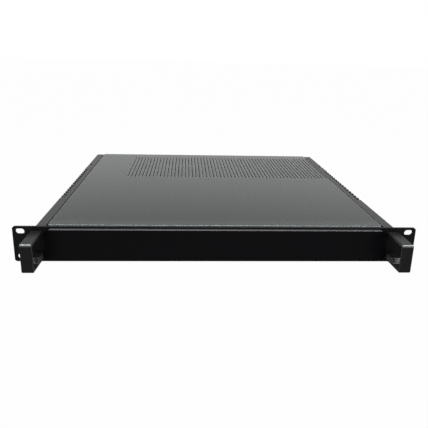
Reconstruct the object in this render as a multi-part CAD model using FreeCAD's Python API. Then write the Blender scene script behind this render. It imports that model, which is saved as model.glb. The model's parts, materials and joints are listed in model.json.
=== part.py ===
import FreeCAD, Part
import math
import os

# A 1U rack server.  X runs to the right seen from the front, Y runs to the rear and Z is up.
# The origin is the middle of the four rack slots, on the back face of the ears.
# Lengths are millimetres.  Heights named *_h are counted from the panel's bottom edge.

# ---- working margins
past = 1.0      # how far a cutter, or a piece joined to another, runs past the surface that it meets
hair = 0.001    # keeps a full half round from closing on itself

# ---- rack panel and its ears
panel_width = 482.6
panel_height = 43.7
panel_thick = 3.0
panel_corner_r = 3.0
rack_slot_pitch_x = 465.1
rack_slot_pitch_z = 31.75
rack_slot_width = 6.8
rack_slot_length = 10.5
grille_slot = 8.0
grille_pitch = 13.0
grille_low_h = 9.5
grille_high_h = 34.5
filter_thick = 5.3
filter_low_h = 6.0
filter_top_gap = 4.4

# ---- folded steel body
body_width = 432.0
body_height = 42.0
sheet = 1.2
bend_cut = 1.2
bend_inside = 0.6
flange_strip = 11.5
ledge_width = 4.5
front_tab_reach = 20.0
front_tab_top_h = 36.0
front_rail_depth = 14.0
front_rail_drop = 11.0
front_rail_lug = 6.0
front_rail_lip = 4.0
seat_gap = 0.3

# ---- sliding top cover
cover_sheet = 1.2
cover_lip = 3.5
cover_seam = 0.7
cover_bend_cut = 0.6
cover_front = 5.5
cover_travel = 14.0
hook_front = 60.0
hook_rear_margin = 57.0
hook_count = 3
hook_length = 6.0
hook_toe = 8.0
hook_thick = 1.2
hook_side_gap = 0.4
vent_left = -135.0
vent_pitch = 5.95
vent_columns = 57
vent_width = 2.2
vent_length = 162.0
vent_rear_margin = 33.0

# ---- cooling slots that wrap round the body's upper edges
side_slot_first = 129.6
side_slot_pitch = 12.6
side_slot_count = 15
side_slot_width = 6.0
side_slot_low_h = 9.0
side_slot_reach = 5.5
side_slot_alone = 350.2

# ---- carrying handles
handle_inset = 9.3
handle_gap = 0.2
handle_width = 12.9
handle_reach = 46.0
handle_low_h = 4.35
handle_high_h = 38.6
handle_bar = 4.0
handle_foot = 20.0
handle_foot_rise = 8.3
handle_slope = 6.4
handle_outer_r = 3.0
handle_inner_r = 1.6
handle_screw_inset = 4.9
handle_screw_short = 1.0

# ---- drop-down front door
door_low_h = 2.5
door_high_h = 41.4
door_thick = 4.7
door_gap = 0.3
door_corner_r = 8.5
door_edge_r = 1.7
door_pocket = 2.2
door_rim = 6.0
door_foot_gap = 1.0
magnet_inset = 18.7
magnet_width = 10.0
magnet_height = 3.6
magnet_thick = 2.0
strike_width = 12.0
strike_height = 4.0
strike_thick = 1.0
door_rib_count = 5
door_rib = 1.6
pin_r = 1.0
pin_clearance = 0.05
pin_in_door = 9.0
lug_thick = 2.0

# ---- controls behind the door
control_inset = 21.3
control_width = 54.5
control_corner_r = 2.0
control_low_h = 8.0
control_high_h = 36.0
control_wall = 2.0
control_depth = 16.0
button_r = 4.0
button_gap = 0.3
button_travel = 1.5
button_stand = 0.2
button_inset = 9.5
power_h = 28.0
reset_h = 14.5
reset_r = 2.5
button_flange = 1.0
switch_stand = 3.4
switch_size = 6.0
control_set_back = 0.5
usb_inset = 39.5
usb_shell = 0.4
usb_tongue = 1.8
usb_tongue_gap = 0.6
usb_back = 3.0
usb_set_back = 0.3
usb_width = 13.2
usb_height = 5.8
usb_h_pair = (14.5, 27.0)
led_inset = 22.5
led_set_back = 0.2
led_r = 1.5
led_first_h = 13.0
led_pitch = 6.0
led_count = 4
board_thick = 1.6

# ---- drives
drive_width = 101.6
drive_length = 147.0
drive_height = 26.1
drive_count = 3
drive_gap = 2.4
drive_front = 20.0
drive_side_gap = 19.0
drive_rear_gap = 3.0
drive_floor = 4.0
drive_lid = 2.0
drive_edge = 1.5
drive_lid_gap = 13.5
drive_plug_inset = 12.0
drive_plug_width = 42.0
drive_plug_depth = 6.0
drive_plug_low = 2.0
drive_plug_height = 7.0
cage_sheet = 1.0
cage_margin = 4.0
cage_rear_gap = 3.0
cage_wall_height = 18.3
cage_foot = 12.0
cage_window_inset = 15.0

# ---- fans
fan_size = 40.0
fan_length = 28.0
fan_ring = 1.1
fan_hub_share = 0.52
fan_tip_gap = 0.5
fan_blades = 7
fan_blade_chord = 10.0
fan_blade_thick = 1.1
fan_blade_pitch = 42.0
fan_hole_inset = 4.0
fan_hole_r = 1.7
fan_bore_sides = 24
fan_hub_sides = 16
fan_corner = 2.0
fan_motor_thick = 4.0
fan_shaft_r = 1.5
fan_count = 3
fan_spacing = 92.0
fan_h = 21.6
fan_wall_foot = 8.0
fan_wall_margin = 6.0
fan_wall_top_gap = 1.0
fan_arm = 2.0
fan_arm_count = 3
fan_rotor_inset = 3.0
fan_rotor_gap = 0.5

# ---- motherboard and what stands on it
board_width = 305.0
board_length = 244.0
board_side_gap = 9.8
board_front_gap = 0.1
board_rear_gap = 1.0
board_hole_inset = 6.5
board_hole_middle = 134.2
board_row_rear = 35.0
board_row_middle = 75.0
standoff_height = 5.0
standoff_r = 2.9
standoff_floor = 1.0
screw_end_gap = 0.5
board_hole_r = 1.9
screw_r = 1.5
screw_head_r = 2.75
screw_head = 2.0
screw_sides = 8
screw_gap = 0.2
hex_sides = 6
sink_size = 90.0
sink_from_side = 122.0
sink_from_front = 115.7
sink_base = 4.0
sink_fins = 22
sink_fin = 0.9
sink_top_h = 39.5
socket_size = 56.0
socket_height = 5.0
socket_lid_size = 40.3
socket_lid_thick = 1.5
chipset_from_side = 48.0
chipset_from_front = 66.0
chipset_size = 36.0
chipset_base = 3.0
chipset_height = 12.0
chipset_fins = 10
chipset_fin = 1.2
memory_from_side = 212.0
memory_pitch = 10.5
memory_count = 4
memory_from_front = 90.7
memory_latch = 3.5
memory_latch_height = 18.0
memory_chip_count = 8
memory_chip = 9.0
memory_chip_thick = 1.0
memory_chip_height = 11.0
memory_chip_inset = 8.0
memory_chip_top_gap = 4.0
memory_notch_gap = 6.0
memory_slot_length = 141.0
memory_slot_width = 6.5
memory_slot_height = 8.0
memory_length = 133.35
memory_thick = 1.3
memory_top_h = 40.8
memory_seat = 3.5

cell_from_side = 24.0
cell_from_front = 120.0
cell_r = 10.0
cell_thick = 3.2
cell_holder_r = 11.5
cell_holder_height = 3.0
cell_seat = 1.6
riser_gap = 8.0
riser_thick = 1.6
riser_length = 85.0
riser_from_rear = 115.0
riser_top_h = 36.0
riser_socket_height = 9.0
riser_socket_side = 2.5
riser_slot_reach = 10.0
riser_slot_low_h = 22.0
riser_slot_height = 7.5
riser_groove = 1.7
riser_seat = 2.0
riser_inset = 5.0

# ---- rear connectors
io_from_side = 5.0
io_shield_thick = 0.4
io_width = 158.75
io_low_h = 6.6
io_high_h = 36.0
io_stand = 1.0
dsub_upper = 16.8
dsub_lower = 14.4
dsub_height = 8.0
dsub_corner = 1.4
dsub_wall = 0.8
dsub_reach = 6.5
dsub_width = 31.0
dsub_body_height = 12.5
dsub_depth = 14.0
dsub_set_back = 0.2
dsub_post_r = 2.4
dsub_post_reach = 12.5
dsub_post_length = 5.0
serial_from_left = 18.0
vga_from_left = 55.0
usb_from_left = 86.0
lan_from_left = (110.0, 132.0)
usb_stack_width = 14.4
usb_stack_height = 15.8
usb_stack_depth = 17.0
usb_stack_pitch = 7.6
usb_stack_first = 1.0
usb_mouth_width = 12.6
usb_mouth_height = 5.2
usb_mouth_depth = 12.0
lan_width = 16.2
lan_height = 13.6
lan_depth = 21.0
lan_mouth_width = 11.8
lan_mouth_height = 7.2
lan_mouth_low = 4.0
lan_mouth_depth = 14.0
lan_latch_width = 6.4
lan_latch_height = 3.0
lan_latch_low = 1.6
slot_from_side = 186.0
slot_window_inset = 3.0
slot_window_drop = 2.0
slot_plate = 0.9
slot_bead = 0.5
slot_bead_inset = 12.0
slot_bead_drop = 5.0
slot_width = 110.0
slot_low_h = 18.0
slot_high_h = 33.0

# ---- power supply
psu_width = 76.0
psu_length = 150.0
psu_top_gap = 0.3
psu_wall = 1.0
psu_side_gap = 0.3
psu_fan_size = 38.0
psu_fan_side_gap = 3.0
psu_lead_offset = 8.0
psu_lead_hole_gap = 0.8
psu_slot_count = 6
psu_slot_width = 3.0
psu_slot_pitch = 6.0
psu_slot_inset = 6.0
psu_slot_drop = 8.0
psu_screw_inset = 0.9
psu_screw_low = 3.8
psu_screw_drop = 0.8
psu_grille_rings = (8.0, 16.6)
psu_grille_bar = 1.3
inlet_width = 27.4
inlet_height = 19.8
inlet_cavity_width = 24.2
inlet_cavity_height = 16.4
inlet_depth = 17.0
inlet_back = 3.0
inlet_side_gap = 4.0
inlet_low = 3.5
inlet_corner_cut = 4.5
inlet_window_gap = 1.0
switch_window_gap = 0.5
inlet_corner_r = 1.0
inlet_proud = 0.96
inlet_fit = 0.1
inlet_pin_spacing = 7.0
inlet_pin_drop = 1.5
inlet_pin_rise = 2.6
inlet_pin_width = 2.0
inlet_pin_height = 4.0
inlet_pin_set_back = 2.0
switch_width = 21.0
switch_height = 12.0
switch_gap = 1.5
switch_depth = 12.0
switch_wall = 1.2
switch_back = 1.5
rocker_angle = 9.0
rocker_gap = 0.4
rocker_pivot_depth = 5.0
rocker_crown = 5.0
rocker_r = 0.8

# ---- lead from the power supply to the board
lead_r = 2.6
lead_sides = 8
lead_turn_share = 0.45
lead_from_front = 38.0
lead_height = 6.0
lead_entry = 4.0
power_socket_inset = 4.0
power_socket_width = 14.0
power_socket_length = 52.0
power_socket_height = 12.0

bottom = -panel_height / 2.0
half_body = body_width / 2.0
inner_half = half_body - sheet
seam_x = half_body - flange_strip
cover_half = seam_x - cover_seam
ledge_h = body_height - cover_lip
ledge_inner = seam_x - ledge_width
panel_front = -panel_thick
handle_screw_low_h = handle_low_h + handle_foot_rise / 2.0
handle_screw_high_h = handle_high_h - handle_foot_rise / 2.0
handle_screw_depth = handle_foot * 0.6
board_top_h = sheet + standoff_height + board_thick
handle_inner = half_body - handle_inset
handle_screw_x = handle_inner + handle_screw_inset
door_half = handle_inner - handle_gap - lug_thick - door_gap
control_left = control_inset - inner_half
control_right = control_left + control_width
button_x = control_left + button_inset
led_x = control_left + led_inset
usb_x = control_left + usb_inset
drive_right = inner_half - drive_side_gap
drive_end_x = drive_right - drive_count * drive_width - (drive_count - 1) * drive_gap
grille_left = drive_end_x - drive_gap
grille_right = drive_right
fan_mid_x = (drive_right + drive_end_x) / 2.0
fan_wall_y = drive_front + drive_length + drive_rear_gap
board_left = inner_half - board_side_gap - board_width
board_front = fan_wall_y + sheet + fan_length + board_front_gap
board_rear = board_front + board_length
rear_inside = board_rear + board_rear_gap
rear_face = rear_inside + sheet
body_depth = rear_face + seat_gap + cover_sheet
vent_rear = body_depth - vent_rear_margin
vent_front = vent_rear - vent_length
hook_pitch = (body_depth - hook_rear_margin - hook_front) / (hook_count - 1)
hook_places = [hook_front + hook_pitch * i for i in range(hook_count)]
sink_x = board_left + sink_from_side
sink_y = board_front + sink_from_front
memory_first_x = board_left + memory_from_side
memory_y = board_front + memory_from_front
io_left = board_left + io_from_side
slot_left = board_left + slot_from_side
psu_height = body_height - sheet - psu_top_gap


def v(x, y, h):
    """Point from X, Y and the height above the panel's bottom edge."""
    return FreeCAD.Vector(x, y, bottom + h)


def block(x0, x1, y0, y1, h0, h1):
    return Part.makeBox(x1 - x0, y1 - y0, h1 - h0, v(x0, y0, h0))


def rod(r, length, x, y, h, axis):
    return Part.makeCylinder(r, length, v(x, y, h), FreeCAD.Vector(*axis))


def prism(sides, r, length, x, y, h, axis):
    """Many-sided bar along an axis of the frame: small round pieces that repeat are drawn with flats."""
    along = FreeCAD.Vector(*axis)
    start = v(x, y, h)
    first = FreeCAD.Vector(1, 0, 0) if abs(along.x) < 0.5 else FreeCAD.Vector(0, 1, 0)
    second = along.cross(first)
    points = []
    for k in range(sides):
        turn = 2 * math.pi * (k + 0.5) / sides
        points.append(start + first * (r * math.cos(turn)) + second * (r * math.sin(turn)))
    return Part.Face(Part.makePolygon(points + points[:1])).extrude(along * length)


def rounded_wire(points, radii):
    """Closed wire through the points, each corner replaced by an arc of its own radius."""
    edges = []
    entries = []
    count = len(points)
    for i in range(count):
        here = points[i]
        before = points[i - 1]
        after = points[(i + 1) % count]
        radius = radii[i]
        if radius <= 0:
            entries.append((here, here, None))
            continue
        to_before = (before - here).normalize()
        to_after = (after - here).normalize()
        half = to_before.getAngle(to_after) / 2.0
        reach = radius / math.tan(half)
        middle = (to_before + to_after).normalize()
        centre = here + middle * (radius / math.sin(half))
        entries.append((here + to_before * reach, here + to_after * reach, centre - middle * radius))
    for i in range(count):
        start, end, arc_mid = entries[i]
        if arc_mid is not None:
            edges.append(Part.Arc(start, arc_mid, end).toShape())
        following = entries[(i + 1) % count][0]
        if (following - end).Length > 1e-6:
            edges.append(Part.LineSegment(end, following).toShape())
    return Part.Wire(edges)


def rounded_solid(points, radii, direction):
    return Part.Face(rounded_wire(points, radii)).extrude(direction)


def panel_outline(x0, x1, h0, h1, y):
    """Corners of a rectangle that faces the front."""
    return [v(x0, y, h0), v(x1, y, h0), v(x1, y, h1), v(x0, y, h1)]


def rounded_plate(x0, x1, h0, h1, r, y0, y1):
    corners = panel_outline(x0, x1, h0, h1, y0)
    return rounded_solid(corners, [r] * 4, FreeCAD.Vector(0, y1 - y0, 0))


def folded_sheet(path, thick, cuts, y0, y1):
    """Sheet bent along a path of (X, height) points, its thickness on the path's left side.

    Each bend's outside is taken off by a flat as long as its entry in cuts, none where that is zero."""
    count = len(path)
    near = [v(x, y0, h) for x, h in path]
    sides = ([], [])
    for i in range(count):
        steps = [(near[b] - near[a]).normalize() for a, b in ((i - 1, i), (i, i + 1)) if a >= 0 and b < count]
        lefts = [FreeCAD.Vector(-step.z, 0, step.x) for step in steps]
        if len(lefts) == 1:
            sides[0].append([near[i]])
            sides[1].append([near[i] + lefts[0] * thick])
            continue
        middle = (lefts[0] + lefts[1]).normalize()
        far = near[i] + middle * (thick / lefts[0].dot(middle))
        turns_left = lefts[0].x * lefts[1].z - lefts[0].z * lefts[1].x > 0
        outside = near[i] if turns_left else far
        flat = [outside - steps[0] * cuts[i], outside + steps[1] * cuts[i]] if cuts[i] > 0 else [outside]
        sides[0].append(flat if turns_left else [near[i]])
        sides[1].append([far] if turns_left else flat)
    outline = [point for group in sides[0] for point in group]
    for group in reversed(sides[1]):
        outline += group[::-1]
    return Part.Face(Part.makePolygon(outline + outline[:1])).extrude(FreeCAD.Vector(0, y1 - y0, 0))


def screw(x, y, h, length, axis):
    """Hex-head screw: its shank starts at the point and runs along the axis, its head sits behind."""
    shank = prism(screw_sides, screw_r, length, x, y, h, axis)
    back = [c * screw_head for c in axis]
    head = prism(hex_sides, screw_head_r, screw_head, x - back[0], y - back[1], h - back[2], axis)
    return head.fuse(shank).removeSplitter()


def screw_hole(length, x, y, h, axis):
    return prism(screw_sides, screw_r + screw_gap, length, x, y, h, axis)


def chassis_tray():
    path = [(-ledge_inner, ledge_h), (-seam_x, ledge_h), (-seam_x, body_height), (-half_body, body_height)]
    path += [(-half_body, 0.0), (half_body, 0.0)]
    path += [(half_body, body_height), (seam_x, body_height), (seam_x, ledge_h), (ledge_inner, ledge_h)]
    floor_bends = [bend_cut if h == 0.0 else 0.0 for _, h in path]
    tray = folded_sheet(path, sheet, floor_bends, 0.0, rear_face)
    ledge_end = front_rail_depth + seat_gap
    for side in (-1, 1):
        ledge_cut = sorted((side * (ledge_inner - past), side * (seam_x + sheet)))
        tray = tray.cut(block(*ledge_cut, 0.0, ledge_end, ledge_h - 2 * sheet, body_height - sheet))
        tab = sorted((side * (inner_half + sheet / 2), side * (inner_half - front_tab_reach)))
        tray = tray.fuse(block(*tab, 0.0, sheet, sheet / 2, front_tab_top_h))
    reach = inner_half + sheet / 2
    back = block(-reach, reach, rear_inside, rear_face, sheet / 2, ledge_h - sheet)
    back_middle = block(-ledge_inner, ledge_inner, rear_inside, rear_face, sheet, body_height - seat_gap)
    tray = tray.fuse([back, back_middle]).removeSplitter()
    tray = tray.cut(Part.makeCompound(tray_openings()))
    return tray.removeSplitter()


def tray_openings():
    """Everything punched through the body: hook keyways, cooling slots, rear windows and screw holes."""
    cuts = []
    low = ledge_h - 2 * sheet
    for side in (-1, 1):
        lip = sorted((side * (cover_half + hook_side_gap), side * (cover_half - cover_sheet - hook_side_gap)))
        for place in hook_places:
            slot_end = place + hook_length + cover_travel + 2 * hook_side_gap
            cuts.append(block(*lip, place - hook_side_gap, slot_end, low, ledge_h + past))
        places = [side_slot_first + side_slot_pitch * i for i in range(side_slot_count)]
        places.append(side_slot_alone)
        across = sorted((side * (half_body - side_slot_reach), side * (half_body + past)))
        for place in places:
            y0 = place - side_slot_width / 2
            cuts.append(block(*across, y0, y0 + side_slot_width, side_slot_low_h, body_height + past))
        for h in (handle_screw_low_h, handle_screw_high_h):
            cuts.append(screw_hole(3 * sheet, side * handle_screw_x, -sheet, h, (0, 1, 0)))
    cuts += psu_windows()
    cuts.append(block(io_left, io_left + io_width, rear_inside - past, rear_face + past, io_low_h, io_high_h))
    slot_cut = (slot_left + slot_window_inset, slot_left + slot_width - slot_window_inset)
    slot_span = (slot_low_h + slot_window_drop, slot_high_h - slot_window_drop)
    cuts.append(block(*slot_cut, rear_inside - past, rear_face + past, *slot_span))
    return cuts


def psu_windows():
    """Rear windows for the power supply: a round one for its fan, a square one for inlet and switch."""
    x, _, h = fan_in_psu()
    window_r = psu_fan_size / 2 - fan_ring
    round_window = prism(fan_bore_sides, window_r, 3 * sheet, x, rear_inside - sheet, h, (0, 1, 0))
    ix, ih = inlet_middle()
    low = ih - inlet_height / 2 - inlet_window_gap
    high = switch_middle()[1] + switch_height / 2 + switch_window_gap
    half = inlet_width / 2 + inlet_window_gap
    square = block(ix - half, ix + half, rear_inside - sheet, rear_face + sheet, low, high)
    holes = [screw_hole(3 * sheet, sx, rear_inside - sheet, sh, (0, 1, 0)) for sx, sh in psu_screw_places()]
    return [round_window, square] + holes


def front_rail():
    """Cross strip under the cover's front edge, with a lip behind the panel and a lug at each front tab."""
    inner = cover_half - cover_sheet - bend_inside - seat_gap
    nose = seam_x - seat_gap
    low_lip = body_height - sheet - front_rail_lip
    top = block(-inner, inner, 0.0, front_rail_depth, body_height - sheet, body_height)
    front = block(-nose, nose, 0.0, cover_front - seat_gap, body_height - sheet, body_height)
    lip = block(-inner, inner, sheet, 2 * sheet, low_lip, body_height - sheet / 2)
    lugs = []
    for side in (-1, 1):
        across = sorted((side * inner, side * (inner - front_rail_lug)))
        low_h = front_tab_top_h - front_rail_drop
        lugs.append(block(*across, sheet, 2 * sheet, low_h, body_height - sheet / 2))
    return top.fuse([front, lip] + lugs).removeSplitter()


def front_panel():
    y0 = panel_front
    half = panel_width / 2.0
    panel = rounded_plate(-half, half, 0.0, panel_height, panel_corner_r, y0, 0.0)
    cuts = []
    for sx in (-1, 1):
        for sz in (-1, 1):
            cuts.append(rack_slot(sx * rack_slot_pitch_x / 2, panel_height / 2 + sz * rack_slot_pitch_z / 2))
        for h in (handle_screw_low_h, handle_screw_high_h):
            cuts.append(screw_hole(3 * panel_thick, sx * handle_screw_x, -2 * panel_thick, h, (0, 1, 0)))
    cuts.append(block(control_left, control_right, y0 - past, past, control_low_h, control_high_h))
    slot_x = grille_left
    while slot_x + grille_slot <= grille_right:
        cuts.append(block(slot_x, slot_x + grille_slot, y0 - past, past, grille_low_h, grille_high_h))
        slot_x += grille_pitch
    panel = panel.cut(Part.makeCompound(cuts))
    for side in (-1, 1):
        panel = panel.fuse(hinge_lug(side))
    return panel.removeSplitter()


def rack_slot(x, h):
    r = rack_slot_width / 2.0
    half = rack_slot_length / 2.0
    y0 = panel_front - past
    corners = panel_outline(x - half, x + half, h - r, h + r, y0)
    return rounded_solid(corners, [r - hair] * 4, FreeCAD.Vector(0, panel_thick + 2 * past, 0))


def door_pivot():
    """Y and height of the door's hinge line: the middle of its rounded lower edge."""
    return panel_front - door_gap - door_thick / 2.0, door_low_h + door_thick / 2.0


def hinge_lug(side):
    y, h = door_pivot()
    r = door_thick / 2.0
    x0 = door_half + door_gap
    x = min(side * x0, side * (x0 + lug_thick))
    plate = block(x, x + lug_thick, y, panel_front, h - r, h + r)
    nose = prism(screw_sides, r / math.cos(math.pi / screw_sides), lug_thick, x, y, h, (1, 0, 0))
    bore = rod(pin_r, lug_thick + 2 * past, x - past, y, h, (1, 0, 0))
    return plate.fuse(nose).cut(bore)


def hinge_pins():
    y, h = door_pivot()
    length = lug_thick + door_gap + pin_in_door
    outer = door_half + door_gap + lug_thick
    return [rod(pin_r, length, outer - length, y, h, (1, 0, 0)), rod(pin_r, length, -outer, y, h, (1, 0, 0))]


def front_door():
    y, h = door_pivot()
    r = door_thick / 2.0
    front = y - r
    back = y + r
    width = 2 * door_half
    side = [FreeCAD.Vector(-door_half, front, bottom + door_low_h)]
    side.append(FreeCAD.Vector(-door_half, back, bottom + door_low_h))
    side.append(FreeCAD.Vector(-door_half, back, bottom + door_high_h))
    side.append(FreeCAD.Vector(-door_half, front, bottom + door_high_h))
    radii = [r - hair, r - hair, 0.0, door_edge_r]
    slab = rounded_solid(side, radii, FreeCAD.Vector(width, 0, 0))
    corners = panel_outline(-door_half, door_half, door_low_h - past, door_high_h, front - past)
    through = FreeCAD.Vector(0, door_thick + 2 * past, 0)
    outline = rounded_solid(corners, [0, 0, door_corner_r, door_corner_r], through)
    door = slab.common(outline)
    pocket_low = door_low_h + door_thick + door_foot_gap
    pocket_high = door_high_h - door_rim
    pocket_half = door_half - 3 * door_rim
    pocket_y = back - door_pocket
    pocket = block(-pocket_half, pocket_half, pocket_y, back + past, pocket_low, pocket_high)
    for i in range(door_rib_count):
        x = -door_half + width * (i + 1) / (door_rib_count + 1)
        across = (x - door_rib / 2, x + door_rib / 2)
        rib = block(*across, pocket_y - past, back + 2 * past, pocket_low, pocket_high)
        pocket = pocket.cut(rib)
    hole_r = pin_r + pin_clearance
    depth = pin_in_door + door_gap
    holes = [rod(hole_r, depth, -door_half, y, h, (1, 0, 0))]
    holes.append(rod(hole_r, depth, door_half - depth, y, h, (1, 0, 0)))
    plates = [strike_plate(s) for s in (-1, 1)]
    return door.cut(Part.makeCompound([pocket] + holes + plates)).removeSplitter()


def strike_plate(side):
    """Steel plate let into the back of the door, opposite a magnet in the panel."""
    y, _ = door_pivot()
    back = y + door_thick / 2.0
    x = side * (door_half - magnet_inset)
    h = door_high_h - door_rim / 2
    half = strike_width / 2
    return block(x - half, x + half, back - strike_thick, back, h - strike_height / 2, h + strike_height / 2)


def carrying_handle(side):
    """Cast loop handle: a thin bar that thickens into two feet where the screws enter."""
    y0 = panel_front
    front = y0 - handle_reach
    inner_front = front + handle_bar
    foot_front = y0 - handle_foot
    slope_front = foot_front - handle_slope
    x = handle_inner if side > 0 else -handle_inner - handle_width
    low = handle_low_h
    high = handle_high_h
    foot = handle_foot_rise
    bar = handle_bar
    outline = [(y0, low), (front, low), (front, high), (y0, high), (y0, high - foot)]
    outline += [(foot_front, high - foot), (slope_front, high - bar), (inner_front, high - bar)]
    outline += [(inner_front, low + bar), (slope_front, low + bar)]
    outline += [(foot_front, low + foot), (y0, low + foot)]
    outer_r = handle_outer_r
    inner_r = handle_inner_r
    radii = [0, outer_r, outer_r, 0, 0, inner_r, inner_r, inner_r, inner_r, inner_r, inner_r, 0]
    points = [v(x, y, h) for y, h in outline]
    handle = rounded_solid(points, radii, FreeCAD.Vector(handle_width, 0, 0))
    for h in (handle_screw_low_h, handle_screw_high_h):
        bore = prism(screw_sides, screw_r, handle_screw_depth, side * handle_screw_x, y0, h, (0, -1, 0))
        handle = handle.cut(bore)
    return handle


def handle_screws():
    length = sheet + panel_thick + handle_screw_depth - handle_screw_short
    found = []
    for side in (-1, 1):
        for h in (handle_screw_low_h, handle_screw_high_h):
            found.append(screw(side * handle_screw_x, sheet, h, length, (0, -1, 0)))
    return found


def top_cover():
    top = body_height + cover_sheet
    path = [(cover_half, ledge_h), (cover_half, top), (-cover_half, top), (-cover_half, ledge_h)]
    cover = folded_sheet(path, cover_sheet, [cover_bend_cut] * len(path), cover_front, body_depth)
    lip_y = body_depth - cover_sheet
    lip_half = cover_half - cover_sheet / 2
    cover = cover.fuse(block(-lip_half, lip_half, lip_y, body_depth, ledge_h, body_height + cover_sheet / 2))
    parts = []
    for side in (-1, 1):
        across = sorted((side * cover_half, side * (cover_half - cover_sheet)))
        for place in hook_places:
            toe_top = ledge_h - sheet - seat_gap
            toe_low = toe_top - hook_thick
            parts.append(block(*across, place, place + hook_length, toe_low, ledge_h + past))
            parts.append(block(*across, place - hook_toe, place + hook_length, toe_low, toe_top))
    cover = cover.fuse(parts).cut(Part.makeCompound(cover_vents()))
    return cover.removeSplitter()


def cover_vents():
    """One long slot per column, side by side over the power supply and the board."""
    cuts = []
    top = body_height + cover_sheet + past
    for column in range(vent_columns):
        x0 = vent_left + column * vent_pitch - vent_width / 2
        cuts.append(block(x0, x0 + vent_width, vent_front, vent_rear, body_height - past, top))
    return cuts


def control_housing():
    """Moulded block in the panel's left window: guides for two buttons, light pipes and two USB ports."""
    gap = seat_gap
    x0 = control_left + gap
    x1 = control_right - gap
    h0 = control_low_h + gap
    h1 = control_high_h - gap
    face = panel_front + control_set_back
    shell = rounded_plate(x0, x1, h0, h1, control_corner_r, face, control_depth)
    across = (x0 + control_wall, x1 - control_wall)
    cuts = [block(*across, face + control_wall, control_depth + past, h0 + control_wall, h1 - control_wall)]
    cuts.append(rod(button_r + button_gap, 2 * control_wall, button_x, face - past, power_h, (0, 1, 0)))
    cuts.append(rod(reset_r + button_gap, 2 * control_wall, button_x, face - past, reset_h, (0, 1, 0)))
    for i in range(led_count):
        led_h = led_first_h + i * led_pitch
        cuts.append(prism(screw_sides, led_r, 2 * control_wall, led_x, face - past, led_h, (0, 1, 0)))
    for h in usb_h_pair:
        cuts.append(usb_outline(h, face - past, face + control_wall + past))
    return shell.cut(Part.makeCompound(cuts))


def usb_outline(h, y0, y1):
    half_w = usb_width / 2
    half_h = usb_height / 2
    return block(usb_x - half_w, usb_x + half_w, y0, y1, h - half_h, h + half_h)


def push_button(x, h, r):
    """Round cap with a wider collar inside the housing that stops it from falling out."""
    face = panel_front + control_set_back
    front = face - button_stand
    collar_y = face + control_wall
    stem_end = switch_front() - button_travel
    cap = rod(r, collar_y + button_flange - front, x, front, h, (0, 1, 0))
    collar = prism(screw_sides, r + button_flange, button_flange, x, collar_y, h, (0, 1, 0))
    stem = prism(screw_sides, r / 2, stem_end - collar_y, x, collar_y, h, (0, 1, 0))
    return cap.fuse([collar, stem]).removeSplitter()


def switch_front():
    return control_depth - board_thick - switch_stand


def control_board():
    gap = seat_gap
    y1 = control_depth
    y0 = y1 - board_thick
    left = control_left + gap + control_wall
    right = control_right - gap - control_wall
    return block(left, right, y0, y1, control_low_h + gap + control_wall, control_high_h - gap - control_wall)


def tact_switches():
    y0 = switch_front()
    half = switch_size / 2
    places = ((button_x, power_h), (button_x, reset_h))
    return [block(x - half, x + half, y0, y0 + switch_stand, h - half, h + half) for x, h in places]


def light_pipes():
    y0 = panel_front + led_set_back
    length = control_depth - board_thick - y0
    heights = [led_first_h + i * led_pitch for i in range(led_count)]
    return [prism(screw_sides, led_r, length, led_x, y0, h, (0, 1, 0)) for h in heights]


def front_usb_ports():
    """Two USB sockets: a folded shell with its tongue, reaching back to the small board."""
    found = []
    y0 = panel_front + usb_set_back
    y1 = control_depth - board_thick
    half_w = usb_width / 2 - usb_shell
    half_h = usb_height / 2 - usb_shell
    tongue_half = half_w - usb_tongue_gap
    for h in usb_h_pair:
        cavity = block(usb_x - half_w, usb_x + half_w, y0 - past, y1 - usb_back, h - half_h, h + half_h)
        tongue_y = (y0 + usb_tongue_gap, y1 - usb_back / 2)
        tongue = block(usb_x - tongue_half, usb_x + tongue_half, *tongue_y, h, h + usb_tongue)
        found.append(usb_outline(h, y0, y1).cut(cavity).fuse(tongue).removeSplitter())
    return found


def drive_left(i):
    return drive_right - drive_width - i * (drive_width + drive_gap)


def drive_cage():
    """Tray with upright dividers that the drives are screwed to, lifted off the floor by its own feet."""
    left = drive_left(drive_count - 1) - drive_gap
    right = drive_right + drive_gap
    y0 = drive_front - cage_margin
    y1 = fan_wall_y - fan_wall_foot - cage_rear_gap
    floor_h = sheet + drive_floor
    under = floor_h - cage_sheet / 2
    cage = block(left, right, y0, y1, floor_h - cage_sheet, floor_h)
    added = []
    for i in range(drive_count + 1):
        x = drive_right + (drive_gap - cage_sheet) / 2 - i * (drive_width + drive_gap)
        added.append(block(x, x + cage_sheet, y0, y1, under, floor_h + cage_wall_height))
    for x in (left, right - cage_foot):
        added.append(block(x, x + cage_foot, y0, y1, sheet, under))
    inset = cage_window_inset
    windows = []
    for i in range(drive_count):
        across = (drive_left(i) + inset, drive_left(i) + drive_width - inset)
        windows.append(block(*across, y0 + inset, y1 - inset, floor_h - 2 * past, floor_h + past))
    return cage.fuse(added).cut(Part.makeCompound(windows)).removeSplitter()


def hard_drive(i):
    """Drive body with its lid plate and the connector recess at the rear."""
    x0 = drive_left(i)
    x1 = x0 + drive_width
    low = sheet + drive_floor
    y0 = drive_front
    y1 = y0 + drive_length
    lid_low = low + drive_height - drive_lid
    body = block(x0, x1, y0, y1, low, lid_low)
    edge = drive_edge
    lid = block(x0 + edge, x1 - edge, y0 + edge, y1 - drive_lid_gap, lid_low, low + drive_height)
    uprights = [e for e in lid.Edges if e.BoundBox.ZLength > drive_lid / 2]
    lid = lid.makeChamfer(5 * drive_edge, uprights)
    plug_x = x0 + drive_plug_inset
    plug_low = low + drive_plug_low
    across = (plug_x, plug_x + drive_plug_width)
    plug = block(*across, y1 - drive_plug_depth, y1 + past, plug_low, plug_low + drive_plug_height)
    return body.cut(plug).fuse(lid).removeSplitter()


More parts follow.
